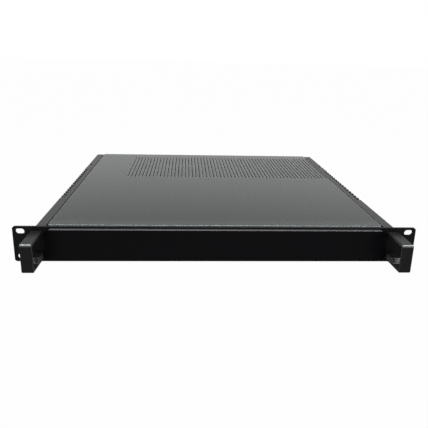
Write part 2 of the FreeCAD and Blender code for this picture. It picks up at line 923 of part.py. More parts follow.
def fan_x(i):
    return fan_mid_x + (i - (fan_count - 1) / 2.0) * fan_spacing


def fan_wall():
    """Bracket across the body that carries the fans, with a foot on the floor and a lip under the cover."""
    x0 = fan_x(0) - fan_size / 2 - fan_wall_margin
    x1 = fan_x(fan_count - 1) + fan_size / 2 + fan_wall_margin
    y0 = fan_wall_y
    top = body_height - fan_wall_top_gap
    wall = block(x0, x1, y0, y0 + sheet, sheet, top)
    foot = block(x0, x1, y0 - fan_wall_foot, y0 + sheet, sheet, 2 * sheet)
    head = block(x0, x1, y0 - fan_wall_foot, y0 + sheet, top - sheet, top)
    opening_r = fan_size / 2 - 2 * fan_ring
    cuts = []
    for i in range(fan_count):
        cuts.append(prism(fan_bore_sides, opening_r, 3 * sheet, fan_x(i), y0 - sheet, fan_h, (0, 1, 0)))
    return wall.fuse([foot, head]).cut(Part.makeCompound(cuts)).removeSplitter()


def fan_frame(x, y0, h, size):
    """Square duct with four corner holes and the motor seat carried on three struts at the rear."""
    half = size / 2
    bore_r = half - fan_ring
    hub_r = bore_r * fan_hub_share
    frame = block(x - half, x + half, y0, y0 + fan_length, h - half, h + half)
    frame = frame.makeChamfer(fan_corner, [e for e in frame.Edges if e.BoundBox.YLength > fan_length / 2])
    cuts = [prism(fan_bore_sides, bore_r, fan_length + 2 * past, x, y0 - past, h, (0, 1, 0))]
    hole = half - fan_hole_inset
    for sx in (-1, 1):
        for sz in (-1, 1):
            place = (x + sx * hole, y0 - past, h + sz * hole)
            cuts.append(prism(hex_sides, fan_hole_r, fan_length + 2 * past, *place, (0, 1, 0)))
    frame = frame.cut(Part.makeCompound(cuts))
    seat_y = y0 + fan_length - fan_motor_thick
    seat = prism(fan_hub_sides, hub_r, fan_motor_thick, x, seat_y, h, (0, 1, 0))
    arms = []
    half_arm = fan_arm / 2
    for k in range(fan_arm_count):
        arm_end = seat_y + fan_motor_thick / 2
        across = (x + hub_r - half_arm, x + bore_r + fan_ring / 2)
        arm = block(*across, seat_y, arm_end, h - half_arm, h + half_arm)
        arm.rotate(v(x, 0, h), FreeCAD.Vector(0, 1, 0), 90 + 360.0 * k / fan_arm_count)
        arms.append(arm)
    bore = rod(fan_shaft_r + pin_clearance, fan_motor_thick + 2 * past, x, seat_y - past, h, (0, 1, 0))
    return frame.fuse([seat] + arms).cut(bore).removeSplitter()


def fan_rotor(x, y0, h, size):
    """Hub with pitched blades and the shaft that runs in the frame's motor seat."""
    bore_r = (size / 2 - fan_ring) * math.cos(math.pi / fan_bore_sides)
    hub_r = bore_r * fan_hub_share
    seat_y = y0 + fan_length - fan_motor_thick
    hub_y = y0 + fan_rotor_inset
    hub_end = seat_y - fan_rotor_gap
    shaft_y = hub_end - fan_shaft_r
    shaft_end = seat_y + fan_motor_thick - fan_rotor_gap
    hub = prism(fan_hub_sides, hub_r, hub_end - hub_y, x, hub_y, h, (0, 1, 0))
    shaft = rod(fan_shaft_r, shaft_end - shaft_y, x, shaft_y, h, (0, 1, 0))
    blades = []
    half_chord = fan_blade_chord / 2
    swing = half_chord * math.sin(math.radians(fan_blade_pitch)) + fan_blade_thick / 2
    tip = math.sqrt((bore_r - fan_tip_gap) ** 2 - swing ** 2)
    half_thick = fan_blade_thick / 2
    mid_y = (hub_y + hub_end) / 2
    for k in range(fan_blades):
        across = (x + hub_r * 0.75, x + tip)
        blade = block(*across, mid_y - half_chord, mid_y + half_chord, h - half_thick, h + half_thick)
        blade.rotate(v(x, mid_y, h), FreeCAD.Vector(1, 0, 0), fan_blade_pitch)
        blade.rotate(v(x, mid_y, h), FreeCAD.Vector(0, 1, 0), 360.0 * k / fan_blades)
        blades.append(blade)
    return hub.fuse([shaft] + blades).removeSplitter()


def board_holes():
    """Middles of the board's fixing holes: three rows of three."""
    left = board_left + board_hole_inset
    right = board_left + board_width - board_hole_inset
    middle = board_left + board_hole_middle
    rows = (board_rear - board_row_rear, board_front + board_row_middle, board_front + board_hole_inset)
    return [(x, y) for y in rows for x in (left, middle, right)]


def motherboard():
    low = board_top_h - board_thick
    board = block(board_left, board_left + board_width, board_front, board_rear, low, board_top_h)
    holes = []
    for x, y in board_holes():
        holes.append(prism(screw_sides, board_hole_r, 3 * board_thick, x, y, low - board_thick, (0, 0, 1)))
    return board.cut(Part.makeCompound(holes))


def board_standoffs():
    """Hexagonal posts on the floor with a threaded bore from above."""
    found = []
    for x, y in board_holes():
        post = prism(hex_sides, standoff_r, standoff_height, x, y, sheet, (0, 0, 1))
        bore = prism(screw_sides, screw_r, standoff_height, x, y, sheet + standoff_floor, (0, 0, 1))
        found.append(post.cut(bore))
    return found


def board_screws():
    length = board_thick + standoff_height - standoff_floor - screw_end_gap
    return [screw(x, y, board_top_h, length, (0, 0, -1)) for x, y in board_holes()]


def square_on(x, y, size, low, high):
    half = size / 2
    return block(x - half, x + half, y - half, y + half, low, high)


def processor_socket():
    top = board_top_h + socket_height
    base = square_on(sink_x, sink_y, socket_size, board_top_h, top - socket_lid_thick)
    lid = square_on(sink_x, sink_y, socket_lid_size, top - 2 * socket_lid_thick, top)
    return base.fuse(lid).removeSplitter()


def finned_sink(x, y, size, low, base_thick, top, fins, fin):
    """Square sink: a comb profile drawn out along the airflow."""
    x0 = x - size / 2
    y0 = y - size / 2
    pitch = (size - fin) / (fins - 1)
    floor_h = low + base_thick
    points = [v(x0, y0, low), v(x0 + size, y0, low)]
    for i in range(fins - 1, -1, -1):
        left = x0 + i * pitch
        if i < fins - 1:
            points.append(v(left + fin, y0, floor_h))
        points.append(v(left + fin, y0, top))
        points.append(v(left, y0, top))
        if i > 0:
            points.append(v(left, y0, floor_h))
    return Part.Face(Part.makePolygon(points + points[:1])).extrude(FreeCAD.Vector(0, size, 0))


def processor_sink():
    low = board_top_h + socket_height
    return finned_sink(sink_x, sink_y, sink_size, low, sink_base, sink_top_h, sink_fins, sink_fin)


def chipset_sink():
    x = board_left + chipset_from_side
    y = board_front + chipset_from_front
    top = board_top_h + chipset_height
    return finned_sink(x, y, chipset_size, board_top_h, chipset_base, top, chipset_fins, chipset_fin)


def memory_x(i):
    return memory_first_x + i * memory_pitch


def memory_slots():
    """Long sockets side by side, each with a groove for its module and a latch at either end."""
    found = []
    half = memory_slot_width / 2
    half_card = memory_thick / 2
    y0 = memory_y - memory_slot_length / 2
    card_span = (memory_y - memory_length / 2, memory_y + memory_length / 2)
    latch_top = board_top_h + memory_latch_height
    for i in range(memory_count):
        x = memory_x(i)
        top = board_top_h + memory_slot_height
        body = block(x - half, x + half, y0, y0 + memory_slot_length, board_top_h, top)
        for end in (y0, y0 + memory_slot_length - memory_latch):
            body = body.fuse(block(x - half, x + half, end, end + memory_latch, board_top_h, latch_top))
        groove = block(x - half_card, x + half_card, *card_span, board_top_h + memory_seat, latch_top + past)
        found.append(body.cut(groove).removeSplitter())
    return found


def memory_modules():
    """Upright cards in the sockets, each with a row of chips that leaves the card's middle free."""
    found = []
    y0 = memory_y - memory_length / 2
    pitch = (memory_length - 2 * memory_chip_inset) / memory_chip_count
    chip_top = memory_top_h - memory_chip_top_gap
    for i in range(memory_count):
        face = memory_x(i) + memory_thick / 2
        card_low = board_top_h + memory_seat
        card = block(face - memory_thick, face, y0, y0 + memory_length, card_low, memory_top_h)
        chips = []
        for k in range(memory_chip_count):
            y = y0 + memory_chip_inset + k * pitch + (memory_notch_gap if 2 * k >= memory_chip_count else 0.0)
            across = (face, face + memory_chip_thick)
            chips.append(block(*across, y, y + memory_chip, chip_top - memory_chip_height, chip_top))
        found.append(card.fuse(chips))
    return found


def power_connector():
    """Board's main power socket, turned on its side so that the lead leaves along X."""
    y, h = lead_end()
    half = power_socket_length / 2
    x0 = board_left + power_socket_inset
    top = board_top_h + power_socket_height
    body = block(x0, x0 + power_socket_width, y - half, y + half, board_top_h, top)
    return body.cut(prism(lead_sides, lead_r, lead_entry, x0, y, h, (1, 0, 0)))


def lead_end():
    return board_front + lead_from_front, board_top_h + lead_height


def lead_start_x():
    left, right = psu_span()
    return (left + right) / 2 + psu_lead_offset


def psu_lead():
    """Lead bundle from the power supply's inner end to the board: two straight runs and a tangent arc."""
    end_y, h = lead_end()
    start = v(lead_start_x(), psu_front(), h)
    corner = v(start.x, end_y, h)
    finish = v(board_left + power_socket_inset + lead_entry, end_y, h)
    run = min((start - corner).Length, (finish - corner).Length)
    radius = lead_turn_share * run
    print("psu_lead radius %.1f mm" % radius)
    first = start + FreeCAD.Vector(0, -1, 0) * ((start - corner).Length - radius)
    last = corner + FreeCAD.Vector(radius, 0, 0)
    centre = corner + FreeCAD.Vector(radius, radius, 0)
    middle = centre - FreeCAD.Vector(1, 1, 0).normalize() * radius
    edges = [Part.LineSegment(start, first).toShape(), Part.Arc(first, middle, last).toShape()]
    edges.append(Part.LineSegment(last, finish).toShape())
    path = Part.Wire(edges)
    ring = prism(lead_sides, lead_r, 1.0, start.x, start.y, start.z - bottom, (0, 1, 0))
    section = min(ring.Faces, key=lambda f: f.CenterOfMass.y).OuterWire
    tube = path.makePipeShell([section], True, False)
    ratio = tube.Volume / (Part.Face(section).Area * path.Length)
    print("psu_lead length %.1f mm, volume over section times length %.4f" % (path.Length, ratio))
    return tube


def coin_cell():
    """Round cell in its holder, both drawn with flats."""
    x = board_left + cell_from_side
    y = board_front + cell_from_front
    holder = prism(fan_hub_sides, cell_holder_r, cell_holder_height, x, y, board_top_h, (0, 0, 1))
    cell = prism(fan_hub_sides, cell_r, cell_thick, x, y, board_top_h + cell_seat, (0, 0, 1))
    return holder.fuse(cell).removeSplitter()


def io_ports():
    """Middle, width and height of every rear connector, from left to right seen from the front."""
    ports = {
        "serial": (io_left + serial_from_left, dsub_width, dsub_body_height),
        "vga": (io_left + vga_from_left, dsub_width, dsub_body_height),
        "usb": (io_left + usb_from_left, usb_stack_width, usb_stack_height),
    }
    for i, place in enumerate(lan_from_left):
        ports["lan_%d" % (i + 1)] = (io_left + place, lan_width, lan_height)
    return ports


def io_shield():
    """Thin pressed plate with a rim that fills the rear window, with a hole for each connector."""
    gap = seat_gap
    thick = io_shield_thick
    face = rear_face - thick
    across = (io_left + gap, io_left + io_width - gap)
    upright = (io_low_h + gap, io_high_h - gap)
    plate = block(*across, face, rear_face, *upright)
    rim_front = board_rear + seat_gap
    rim = block(*across, rim_front, rear_face, *upright)
    through = (rim_front - past, rear_face + past)
    inner_across = (across[0] + thick, across[1] - thick)
    rim = rim.cut(block(*inner_across, *through, upright[0] + thick, upright[1] - thick))
    cuts = []
    for x, width, height in io_ports().values():
        half = width / 2 + gap
        cuts.append(block(x - half, x + half, *through, 0, board_top_h + height + gap))
    return plate.fuse(rim).cut(Part.makeCompound(cuts)).removeSplitter()


def dsub_socket(name, male):
    """D-shaped connector: flange, tapered shell and its two jack posts."""
    x, width, height = io_ports()[name]
    y1 = rear_face
    h = board_top_h + height / 2
    face = y1 - dsub_set_back
    base = block(x - width / 2, x + width / 2, y1 - dsub_depth, face, board_top_h, board_top_h + height)
    nose = dsub_shell(x, y1 - past, h, 0.0)
    if male:
        nose = nose.cut(dsub_shell(x, face, h, dsub_wall))
    places = (x - dsub_post_reach, x + dsub_post_reach)
    posts = [prism(hex_sides, dsub_post_r, dsub_post_length, px, y1 - past, h, (0, 1, 0)) for px in places]
    return base.fuse([nose] + posts).removeSplitter()


def dsub_shell(x, y, h, inset):
    """D outline with its corners cut, drawn out to the rear."""
    half = dsub_height / 2 - inset
    upper = dsub_upper / 2 - inset
    lower = dsub_lower / 2 - inset
    cut = dsub_corner
    outline = [(-lower + cut, -half), (lower - cut, -half), (lower, -half + cut), (upper, half - cut)]
    outline += [(upper - cut, half), (-upper + cut, half), (-upper, half - cut), (-lower, -half + cut)]
    points = [v(x + dx, y, h + dh) for dx, dh in outline]
    return Part.Face(Part.makePolygon(points + points[:1])).extrude(FreeCAD.Vector(0, dsub_reach, 0))


def usb_stack():
    """Two USB mouths one above the other, each with its tongue in the upper half."""
    x, width, height = io_ports()["usb"]
    y1 = rear_face + io_stand
    body = block(x - width / 2, x + width / 2, y1 - usb_stack_depth, y1, board_top_h, board_top_h + height)
    half = usb_mouth_width / 2
    tongue_half = half - usb_tongue_gap
    cuts = []
    tongues = []
    for k in range(2):
        low = board_top_h + usb_stack_first + k * usb_stack_pitch
        high = low + usb_mouth_height
        tongue_top = high - usb_tongue_gap
        cuts.append(block(x - half, x + half, y1 - usb_mouth_depth, y1 + past, low, high))
        tongue_y = (y1 - usb_mouth_depth - past, y1 - usb_tongue_gap)
        tongue_x = (x - tongue_half, x + tongue_half)
        tongues.append(block(*tongue_x, *tongue_y, tongue_top - usb_tongue, tongue_top))
    return body.cut(Part.makeCompound(cuts)).fuse(tongues).removeSplitter()


def lan_port(name):
    """Modular jack: a wide mouth with the narrower channel for the plug's latch below it."""
    x, width, height = io_ports()[name]
    y1 = rear_face + io_stand
    body = block(x - width / 2, x + width / 2, y1 - lan_depth, y1, board_top_h, board_top_h + height)
    back = y1 - lan_mouth_depth
    low = board_top_h + lan_mouth_low
    across = (x - lan_mouth_width / 2, x + lan_mouth_width / 2)
    mouth = block(*across, back, y1 + past, low, low + lan_mouth_height)
    latch_low = board_top_h + lan_latch_low
    across = (x - lan_latch_width / 2, x + lan_latch_width / 2)
    latch = block(*across, back, y1 + past, latch_low, latch_low + lan_latch_height)
    return body.cut(mouth.fuse(latch)).removeSplitter()


def riser_card():
    """Upright card in the board's slot, with the socket that a flat-lying card would plug into."""
    x = slot_left - riser_gap
    y0 = board_rear - riser_from_rear
    y1 = y0 + riser_length
    face = x + riser_thick
    card = block(x, face, y0, y1, board_top_h + riser_seat, riser_top_h)
    side = riser_socket_side
    socket_top = board_top_h + riser_socket_height
    socket = block(x - side, face + side, y0 - riser_seat, y1 + riser_seat, board_top_h, socket_top)
    low = riser_slot_low_h
    reach = x + riser_slot_reach
    slot = block(face, reach, y0 + riser_inset, y1 - riser_inset, low, low + riser_slot_height)
    groove_low = low + (riser_slot_height - riser_groove) / 2
    groove_y = (y0 + riser_inset + riser_seat, y1 - riser_inset - riser_seat)
    groove = block(x + riser_inset, reach + past, *groove_y, groove_low, groove_low + riser_groove)
    return card.fuse([socket, slot]).cut(groove).removeSplitter()


def slot_cover():
    """Blanking plate over the expansion window, with a raised middle."""
    y0 = rear_face
    y1 = y0 + slot_plate
    inset = slot_bead_inset
    plate = block(slot_left, slot_left + slot_width, y0, y1, slot_low_h, slot_high_h)
    heights = (slot_low_h + slot_bead_drop, slot_high_h - slot_bead_drop)
    bead = block(slot_left + inset, slot_left + slot_width - inset, y1 - slot_bead, y1 + slot_bead, *heights)
    return plate.fuse(bead).removeSplitter()


def psu_span():
    left = -ledge_inner + psu_side_gap
    return left, left + psu_width


def psu_front():
    return rear_inside - psu_length


def fan_in_psu():
    left, _ = psu_span()
    x = left + psu_wall + psu_fan_size / 2 + psu_fan_side_gap
    return x, rear_inside - psu_wall - fan_length, sheet + psu_height / 2


def inlet_middle():
    _, right = psu_span()
    return right - inlet_width / 2 - inlet_side_gap, sheet + inlet_low + inlet_height / 2


def switch_middle():
    x, h = inlet_middle()
    return x, h + inlet_height / 2 + switch_gap + switch_height / 2


def psu_screw_places():
    """Four screws round the fan, just outside its round window."""
    x, _, h = fan_in_psu()
    across = psu_fan_size / 2 - psu_screw_inset
    low = sheet + psu_screw_low
    high = ledge_h - screw_head_r - psu_screw_drop
    return [(x - across, low), (x + across, low), (x - across, high), (x + across, high)]


def psu_case():
    """Closed steel box with a punched fan grille, inlet and switch windows, and slots in its inner end."""
    left, right = psu_span()
    low = sheet
    high = low + psu_height
    y0 = psu_front()
    y1 = rear_inside
    case = block(left, right, y0, y1, low, high)
    inner = (left + psu_wall, right - psu_wall, y0 + psu_wall, y1 - psu_wall, low + psu_wall, high - psu_wall)
    case = case.cut(block(*inner))
    cuts = psu_grille()
    ix, ih = inlet_middle()
    cuts.append(rear_window(ix, ih, inlet_width, inlet_height))
    sx, sh = switch_middle()
    cuts.append(rear_window(sx, sh, switch_width, switch_height))
    _, lead_h = lead_end()
    hole_r = lead_r + psu_lead_hole_gap
    cuts.append(prism(lead_sides, hole_r, 3 * psu_wall, lead_start_x(), y0 - psu_wall, lead_h, (0, 1, 0)))
    heights = (low + psu_slot_drop, high - psu_slot_drop)
    for k in range(psu_slot_count):
        slot_x = left + psu_slot_inset + k * psu_slot_pitch
        cuts.append(block(slot_x, slot_x + psu_slot_width, y0 - past, y0 + 2 * psu_wall, *heights))
    for px, ph in psu_screw_places():
        cuts.append(prism(screw_sides, screw_r, 3 * psu_wall, px, y1 - 2 * psu_wall, ph, (0, 1, 0)))
    return case.cut(Part.makeCompound(cuts))


def psu_grille():
    """Ring-shaped slots left between punched rings that two crossed bars hold."""
    x, _, h = fan_in_psu()
    y0 = rear_inside - 2 * psu_wall
    length = 3 * psu_wall
    bar = psu_grille_bar / 2
    reach = psu_fan_size
    cross = block(x - reach, x + reach, y0 - past, y0 + length + past, h - bar, h + bar)
    upright = block(x - bar, x + bar, y0 - past, y0 + length + past, h - reach, h + reach)
    cross = cross.fuse(upright)
    cross.rotate(v(x, y0, h), FreeCAD.Vector(0, 1, 0), 45)
    slots = []
    inner_r = 0.0
    for outer_r in psu_grille_rings:
        ring = prism(fan_bore_sides, outer_r, length, x, y0, h, (0, 1, 0))
        if inner_r > 0:
            ring = ring.cut(prism(fan_bore_sides, inner_r + 2 * bar, length, x, y0, h, (0, 1, 0)))
        slots.append(ring.cut(cross))
        inner_r = outer_r
    return slots


def rear_window(x, h, width, height):
    half_w = width / 2
    half_h = height / 2
    through = (rear_inside - 2 * psu_wall, rear_inside + past)
    return block(x - half_w, x + half_w, *through, h - half_h, h + half_h)


def power_inlet():
    """Mains inlet: moulded body with the six-sided recess and three flat pins."""
    x, h = inlet_middle()
    y1 = rear_inside + inlet_proud
    half_w = inlet_width / 2 - inlet_fit
    half_h = inlet_height / 2 - inlet_fit
    y0 = y1 - inlet_depth
    body = block(x - half_w, x + half_w, y0 - inlet_back, y1, h - half_h, h + half_h)
    cw = inlet_cavity_width / 2
    ch = inlet_cavity_height / 2
    cut = inlet_corner_cut
    outline = [(-cw, -ch), (cw, -ch), (cw, ch - cut), (cw - cut, ch), (cut - cw, ch), (-cw, ch - cut)]
    points = [v(x + dx, y0, h + dh) for dx, dh in outline]
    through = FreeCAD.Vector(0, inlet_depth + past, 0)
    body = body.cut(rounded_solid(points, [inlet_corner_r] * len(points), through))
    pins = []
    half_pin = inlet_pin_width / 2
    places = [(-inlet_pin_spacing, -inlet_pin_drop), (inlet_pin_spacing, -inlet_pin_drop)]
    places.append((0.0, inlet_pin_rise))
    for dx, dh in places:
        low = h + dh - inlet_pin_height / 2
        pin_x = x + dx
        pin_end = y1 - inlet_pin_set_back
        across = (pin_x - half_pin, pin_x + half_pin)
        pins.append(block(*across, y0 - past, pin_end, low, low + inlet_pin_height))
    return body.fuse(pins).removeSplitter()


def switch_frame():
    """Snap-in bezel of the mains switch, with the well that its rocker turns in."""
    x, h = switch_middle()
    y1 = rear_inside + inlet_proud
    half_w = switch_width / 2 - inlet_fit
    half_h = switch_height / 2 - inlet_fit
    wall = switch_wall
    body = block(x - half_w, x + half_w, y1 - switch_depth, y1, h - half_h, h + half_h)
    well_y = (y1 - switch_depth + switch_back, y1 + past)
    well_x = (x - half_w + wall, x + half_w - wall)
    body = body.cut(block(*well_x, *well_y, h - half_h + wall, h + half_h - wall))
    return body.cut(rocker_pin())


def rocker_pivot():
    return rear_inside + inlet_proud - rocker_pivot_depth, switch_middle()[1]


def rocker_pin():
    x, h = switch_middle()
    y, _ = rocker_pivot()
    half_h = switch_height / 2 - inlet_fit
    return rod(pin_r, 2 * half_h, x, y, h - half_h, (0, 0, 1))


def power_rocker():
    """Rocker with two faces that slope away from its middle, turned to its resting side."""
    x, h = switch_middle()
    y, _ = rocker_pivot()
    less = inlet_fit + switch_wall + rocker_gap
    half_w = switch_width / 2 - less
    half_h = switch_height / 2 - less
    reach = half_w * 0.9
    crown = y + rocker_crown
    tip = crown + reach * math.tan(math.radians(rocker_angle))
    waist = y + rocker_crown * 0.3
    foot = y - rocker_crown * 0.5
    outline = [(-reach * 0.55, foot), (reach * 0.55, foot), (reach, waist), (reach, tip), (0.0, crown)]
    outline += [(-reach, tip), (-reach, waist)]
    points = [v(x + dx, py, h - half_h) for dx, py in outline]
    r = rocker_r
    rocker = rounded_solid(points, [r, r, r, r, 0, r, r], FreeCAD.Vector(0, 0, 2 * half_h))
    rocker = rocker.cut(rod(pin_r + pin_clearance, 2 * half_h + 2 * past, x, y, h - half_h - past, (0, 0, 1)))
    rocker.rotate(v(x, y, h), FreeCAD.Vector(0, 0, 1), rocker_angle)
    return rocker


def psu_screws():
    return [screw(x, rear_face, h, sheet + psu_wall, (0, -1, 0)) for x, h in psu_screw_places()]


def air_filter():
    """Foam strip behind the panel's intake slots."""
    y0 = 2 * sheet + seat_gap
    across = (grille_left - drive_gap, grille_right)
    return block(*across, y0, y0 + filter_thick, filter_low_h, body_height - filter_top_gap)


def magnets():
    """Two magnets in the panel's upper margin that hold the door shut."""
    h = door_high_h - door_rim / 2
    heights = (h - magnet_height / 2, h + magnet_height / 2)
    half = magnet_width / 2
    found = []
    for x in (magnet_inset - door_half, door_half - magnet_inset):
        found.append(block(x - half, x + half, panel_front, panel_front + magnet_thick, *heights))
    return found


def rotors_and_frames():
    found = {}
    for i in range(fan_count):
        found["fan_frame_%d" % (i + 1)] = fan_frame(fan_x(i), fan_wall_y + sheet, fan_h, fan_size)
        found["fan_rotor_%d" % (i + 1)] = fan_rotor(fan_x(i), fan_wall_y + sheet, fan_h, fan_size)
    x, y, h = fan_in_psu()
    found["psu_fan_frame"] = fan_frame(x, y, h, psu_fan_size)
    found["psu_fan_rotor"] = fan_rotor(x, y, h, psu_fan_size)
    return found


def build_nodes():
    nodes = {
        "chassis_tray": chassis_tray(),
        "front_rail": front_rail(),
        "front_panel": front_panel().cut(Part.makeCompound(magnets())),
        "left_handle": carrying_handle(-1),
        "right_handle": carrying_handle(1),
        "handle_screws": handle_screws(),
        "door_hinge_pins": hinge_pins(),
        "door_magnets": magnets(),
        "front_door": front_door(),
        "door_strikes": [strike_plate(s) for s in (-1, 1)],
        "top_cover": top_cover(),
        "control_housing": control_housing(),
        "power_button": push_button(button_x, power_h, button_r),
        "reset_button": push_button(button_x, reset_h, reset_r),
        "control_board": control_board(),
        "tact_switches": tact_switches(),
        "light_pipes": light_pipes(),
        "front_usb_ports": front_usb_ports(),
        "air_filter": air_filter(),
        "drive_cage": drive_cage(),
        "fan_wall": fan_wall(),
        "motherboard": motherboard(),
        "board_standoffs": board_standoffs(),
        "board_screws": board_screws(),
        "processor_socket": processor_socket(),
        "processor_heatsink": processor_sink(),
        "chipset_heatsink": chipset_sink(),
        "memory_slots": memory_slots(),
        "memory_modules": memory_modules(),
        "board_power_socket": power_connector(),
        "coin_cell": coin_cell(),
        "io_shield": io_shield(),
        "serial_port": dsub_socket("serial", True),
        "display_port": dsub_socket("vga", False),
        "rear_usb_ports": usb_stack(),
        "rear_lan_ports": [lan_port("lan_%d" % (i + 1)) for i in range(len(lan_from_left))],
        "riser_card": riser_card(),
        "slot_cover": slot_cover(),
        "psu_case": psu_case(),
        "psu_screws": psu_screws(),
        "power_inlet": power_inlet(),
        "switch_frame": switch_frame(),
        "switch_pin": rocker_pin(),
        "power_rocker": power_rocker(),
        "psu_lead": psu_lead(),
    }
    for i in range(drive_count):
        nodes["hard_drive_%d" % (i + 1)] = hard_drive(i)
    nodes.update(rotors_and_frames())
    return nodes


def write_step(name, shape):
    solids = shape if isinstance(shape, list) else shape.Solids
    out = Part.makeCompound(solids) if len(solids) > 1 else solids[0]
    out.exportStep("parts/%s.step" % name)


os.makedirs("parts", exist_ok=True)
for node_name, node_shape in build_nodes().items():
    write_step(node_name, node_shape)
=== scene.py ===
import json
import math

import bmesh
import bpy
import numpy as np
from mathutils import Matrix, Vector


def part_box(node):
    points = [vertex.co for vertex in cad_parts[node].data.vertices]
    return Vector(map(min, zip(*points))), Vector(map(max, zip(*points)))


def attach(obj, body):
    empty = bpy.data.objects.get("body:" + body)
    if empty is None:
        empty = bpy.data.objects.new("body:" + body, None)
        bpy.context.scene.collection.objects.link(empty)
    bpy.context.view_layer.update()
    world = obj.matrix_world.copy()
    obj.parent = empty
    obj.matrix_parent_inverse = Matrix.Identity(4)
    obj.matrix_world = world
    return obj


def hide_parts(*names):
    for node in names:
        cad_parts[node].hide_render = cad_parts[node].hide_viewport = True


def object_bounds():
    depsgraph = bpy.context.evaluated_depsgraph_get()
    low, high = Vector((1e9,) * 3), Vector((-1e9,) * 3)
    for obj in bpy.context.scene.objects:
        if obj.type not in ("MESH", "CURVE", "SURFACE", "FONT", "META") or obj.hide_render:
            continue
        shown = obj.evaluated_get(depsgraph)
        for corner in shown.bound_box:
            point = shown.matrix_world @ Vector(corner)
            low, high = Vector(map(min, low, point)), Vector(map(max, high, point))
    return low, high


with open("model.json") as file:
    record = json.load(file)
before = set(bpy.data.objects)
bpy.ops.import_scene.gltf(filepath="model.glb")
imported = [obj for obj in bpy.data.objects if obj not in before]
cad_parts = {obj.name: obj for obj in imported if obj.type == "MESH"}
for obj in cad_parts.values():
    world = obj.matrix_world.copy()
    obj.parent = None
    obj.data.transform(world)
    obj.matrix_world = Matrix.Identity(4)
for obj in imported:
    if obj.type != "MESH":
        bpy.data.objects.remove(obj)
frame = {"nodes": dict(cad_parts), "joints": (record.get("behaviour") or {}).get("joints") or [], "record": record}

# Metres throughout: X to the right, Y to the rear, Z up, the same frame as the CAD parts.
cadBox = [list(corner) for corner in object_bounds()]
nodes = frame["nodes"]
mm = 0.001
sharpAngle = math.radians(35.0)    # faces that meet at more than this get a hard edge
print("frame loaded:", len(nodes), "nodes")


def boxOf(nodeName):
    low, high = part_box(nodeName)
    return np.array(low), np.array(high)


# Node trees for the finishes. Most helpers add one step and return the socket that carries it on.

def setInputs(tree, node, inputs):
    # Another node's socket is linked, a colour gets its fourth number, and anything else is set.
    for name, value in inputs.items():
        socket = node.inputs[name]
        if isinstance(value, bpy.types.NodeSocket):
            tree.links.new(value, socket)
        else:
            socket.default_value = (*value, 1.0) if socket.type == "RGBA" else value


def addNode(tree, kind, inputs, **settings):
    node = tree.nodes.new("ShaderNode" + kind)
    for name, value in settings.items():
        setattr(node, name, value)
    setInputs(tree, node, inputs)
    return node


def objectCoords(tree, stretch=(1.0, 1.0, 1.0)):
    coords = addNode(tree, "TexCoord", {})
    return addNode(tree, "Mapping", {"Vector": coords.outputs["Object"], "Scale": stretch}).outputs["Vector"]


def noiseField(tree, vector, scale, detail=3.0):
    inputs = {"Vector": vector, "Scale": scale, "Detail": detail, "Roughness": 0.55}
    return addNode(tree, "TexNoise", inputs).outputs["Fac"]


def spread(tree, field, low, high, fromLow=0.3, fromHigh=0.7):
    # Noise lies mostly between 0.3 and 0.7.
    inputs = {"Value": field, "From Min": fromLow, "From Max": fromHigh, "To Min": low, "To Max": high}
    return addNode(tree, "MapRange", inputs).outputs["Result"]


def mathStep(tree, operation, first, second):
    return addNode(tree, "Math", {0: first, 1: second}, operation=operation).outputs[0]


def mixColours(tree, factor, first, second):
    # The colour sockets A and B have numbers 6 and 7, as the first ones of those names are for plain numbers.
    return addNode(tree, "Mix", {"Factor": factor, 6: first, 7: second}, data_type="RGBA").outputs[2]


def glintShare(tree, paintedGlint, coords, grain):
    # Painted highlight along an edge: a lighter, metallic share that makes it glint, between two heights or where the
    # piece's per-point share says so.
    # The grain makes it a fifth weaker or stronger.
    if "heights" in paintedGlint:
        parts = addNode(tree, "SeparateXYZ", {0: coords})
        edge = spread(tree, parts.outputs["Z"], 0.0, 1.0, *paintedGlint["heights"])
    else:
        edge = addNode(tree, "Attribute", {}, attribute_name="edgeGlint").outputs["Fac"]
    return mathStep(tree, "MULTIPLY", edge, spread(tree, grain, 0.8 * paintedGlint["share"], 1.2 * paintedGlint["share"]))


def newMaterial(name):
    material = bpy.data.materials.new(name)
    material.use_nodes = True
    return material, material.node_tree


def makeFinish(name, look):
    # Colour drifts between two shades in soft patches. One fine grain drives both the roughness and the bump.
    material, tree = newMaterial(name)
    plain = objectCoords(tree)
    patches = spread(tree, noiseField(tree, plain, look["patchScale"]), 0.0, 1.0)
    colour = mixColours(tree, patches, look["colour"], look["colourTwo"])
    grain = noiseField(tree, objectCoords(tree, look["stretch"]), look["grainScale"], detail=2.0)
    metallic = look["metallic"]
    # Painted highlight: where the look asks for it, the colour turns lighter and metallic along edges so that they
    # glint.
    if "paintedGlint" in look:
        metallic = glintShare(tree, look["paintedGlint"], plain, grain)
        colour = mixColours(tree, metallic, colour, look["paintedGlint"]["colour"])
    bump = addNode(tree, "Bump", {"Strength": look["bump"], "Distance": look["grainHeight"], "Height": grain})
    setInputs(tree, tree.nodes["Principled BSDF"],
              {"Base Color": colour, "Roughness": spread(tree, grain, *look["roughness"]), "Metallic": metallic,
               "IOR": look["ior"], "Normal": bump.outputs["Normal"]})
    return material


# Meshes from arrays.

def gridFaces(rows, columns, closed=False):
    # Quads of a grid of points numbered row by row. In a closed one each row's last point joins its first.
    row, column = np.meshgrid(np.arange(rows - 1), np.arange(columns if closed else columns - 1), indexing="ij")
    nextRow, nextColumn = row + 1, (column + 1) % columns
    corners = [row * columns + column, nextRow * columns + column,
               nextRow * columns + nextColumn, row * columns + nextColumn]
    return np.stack(corners, axis=-1).reshape(-1, 4)


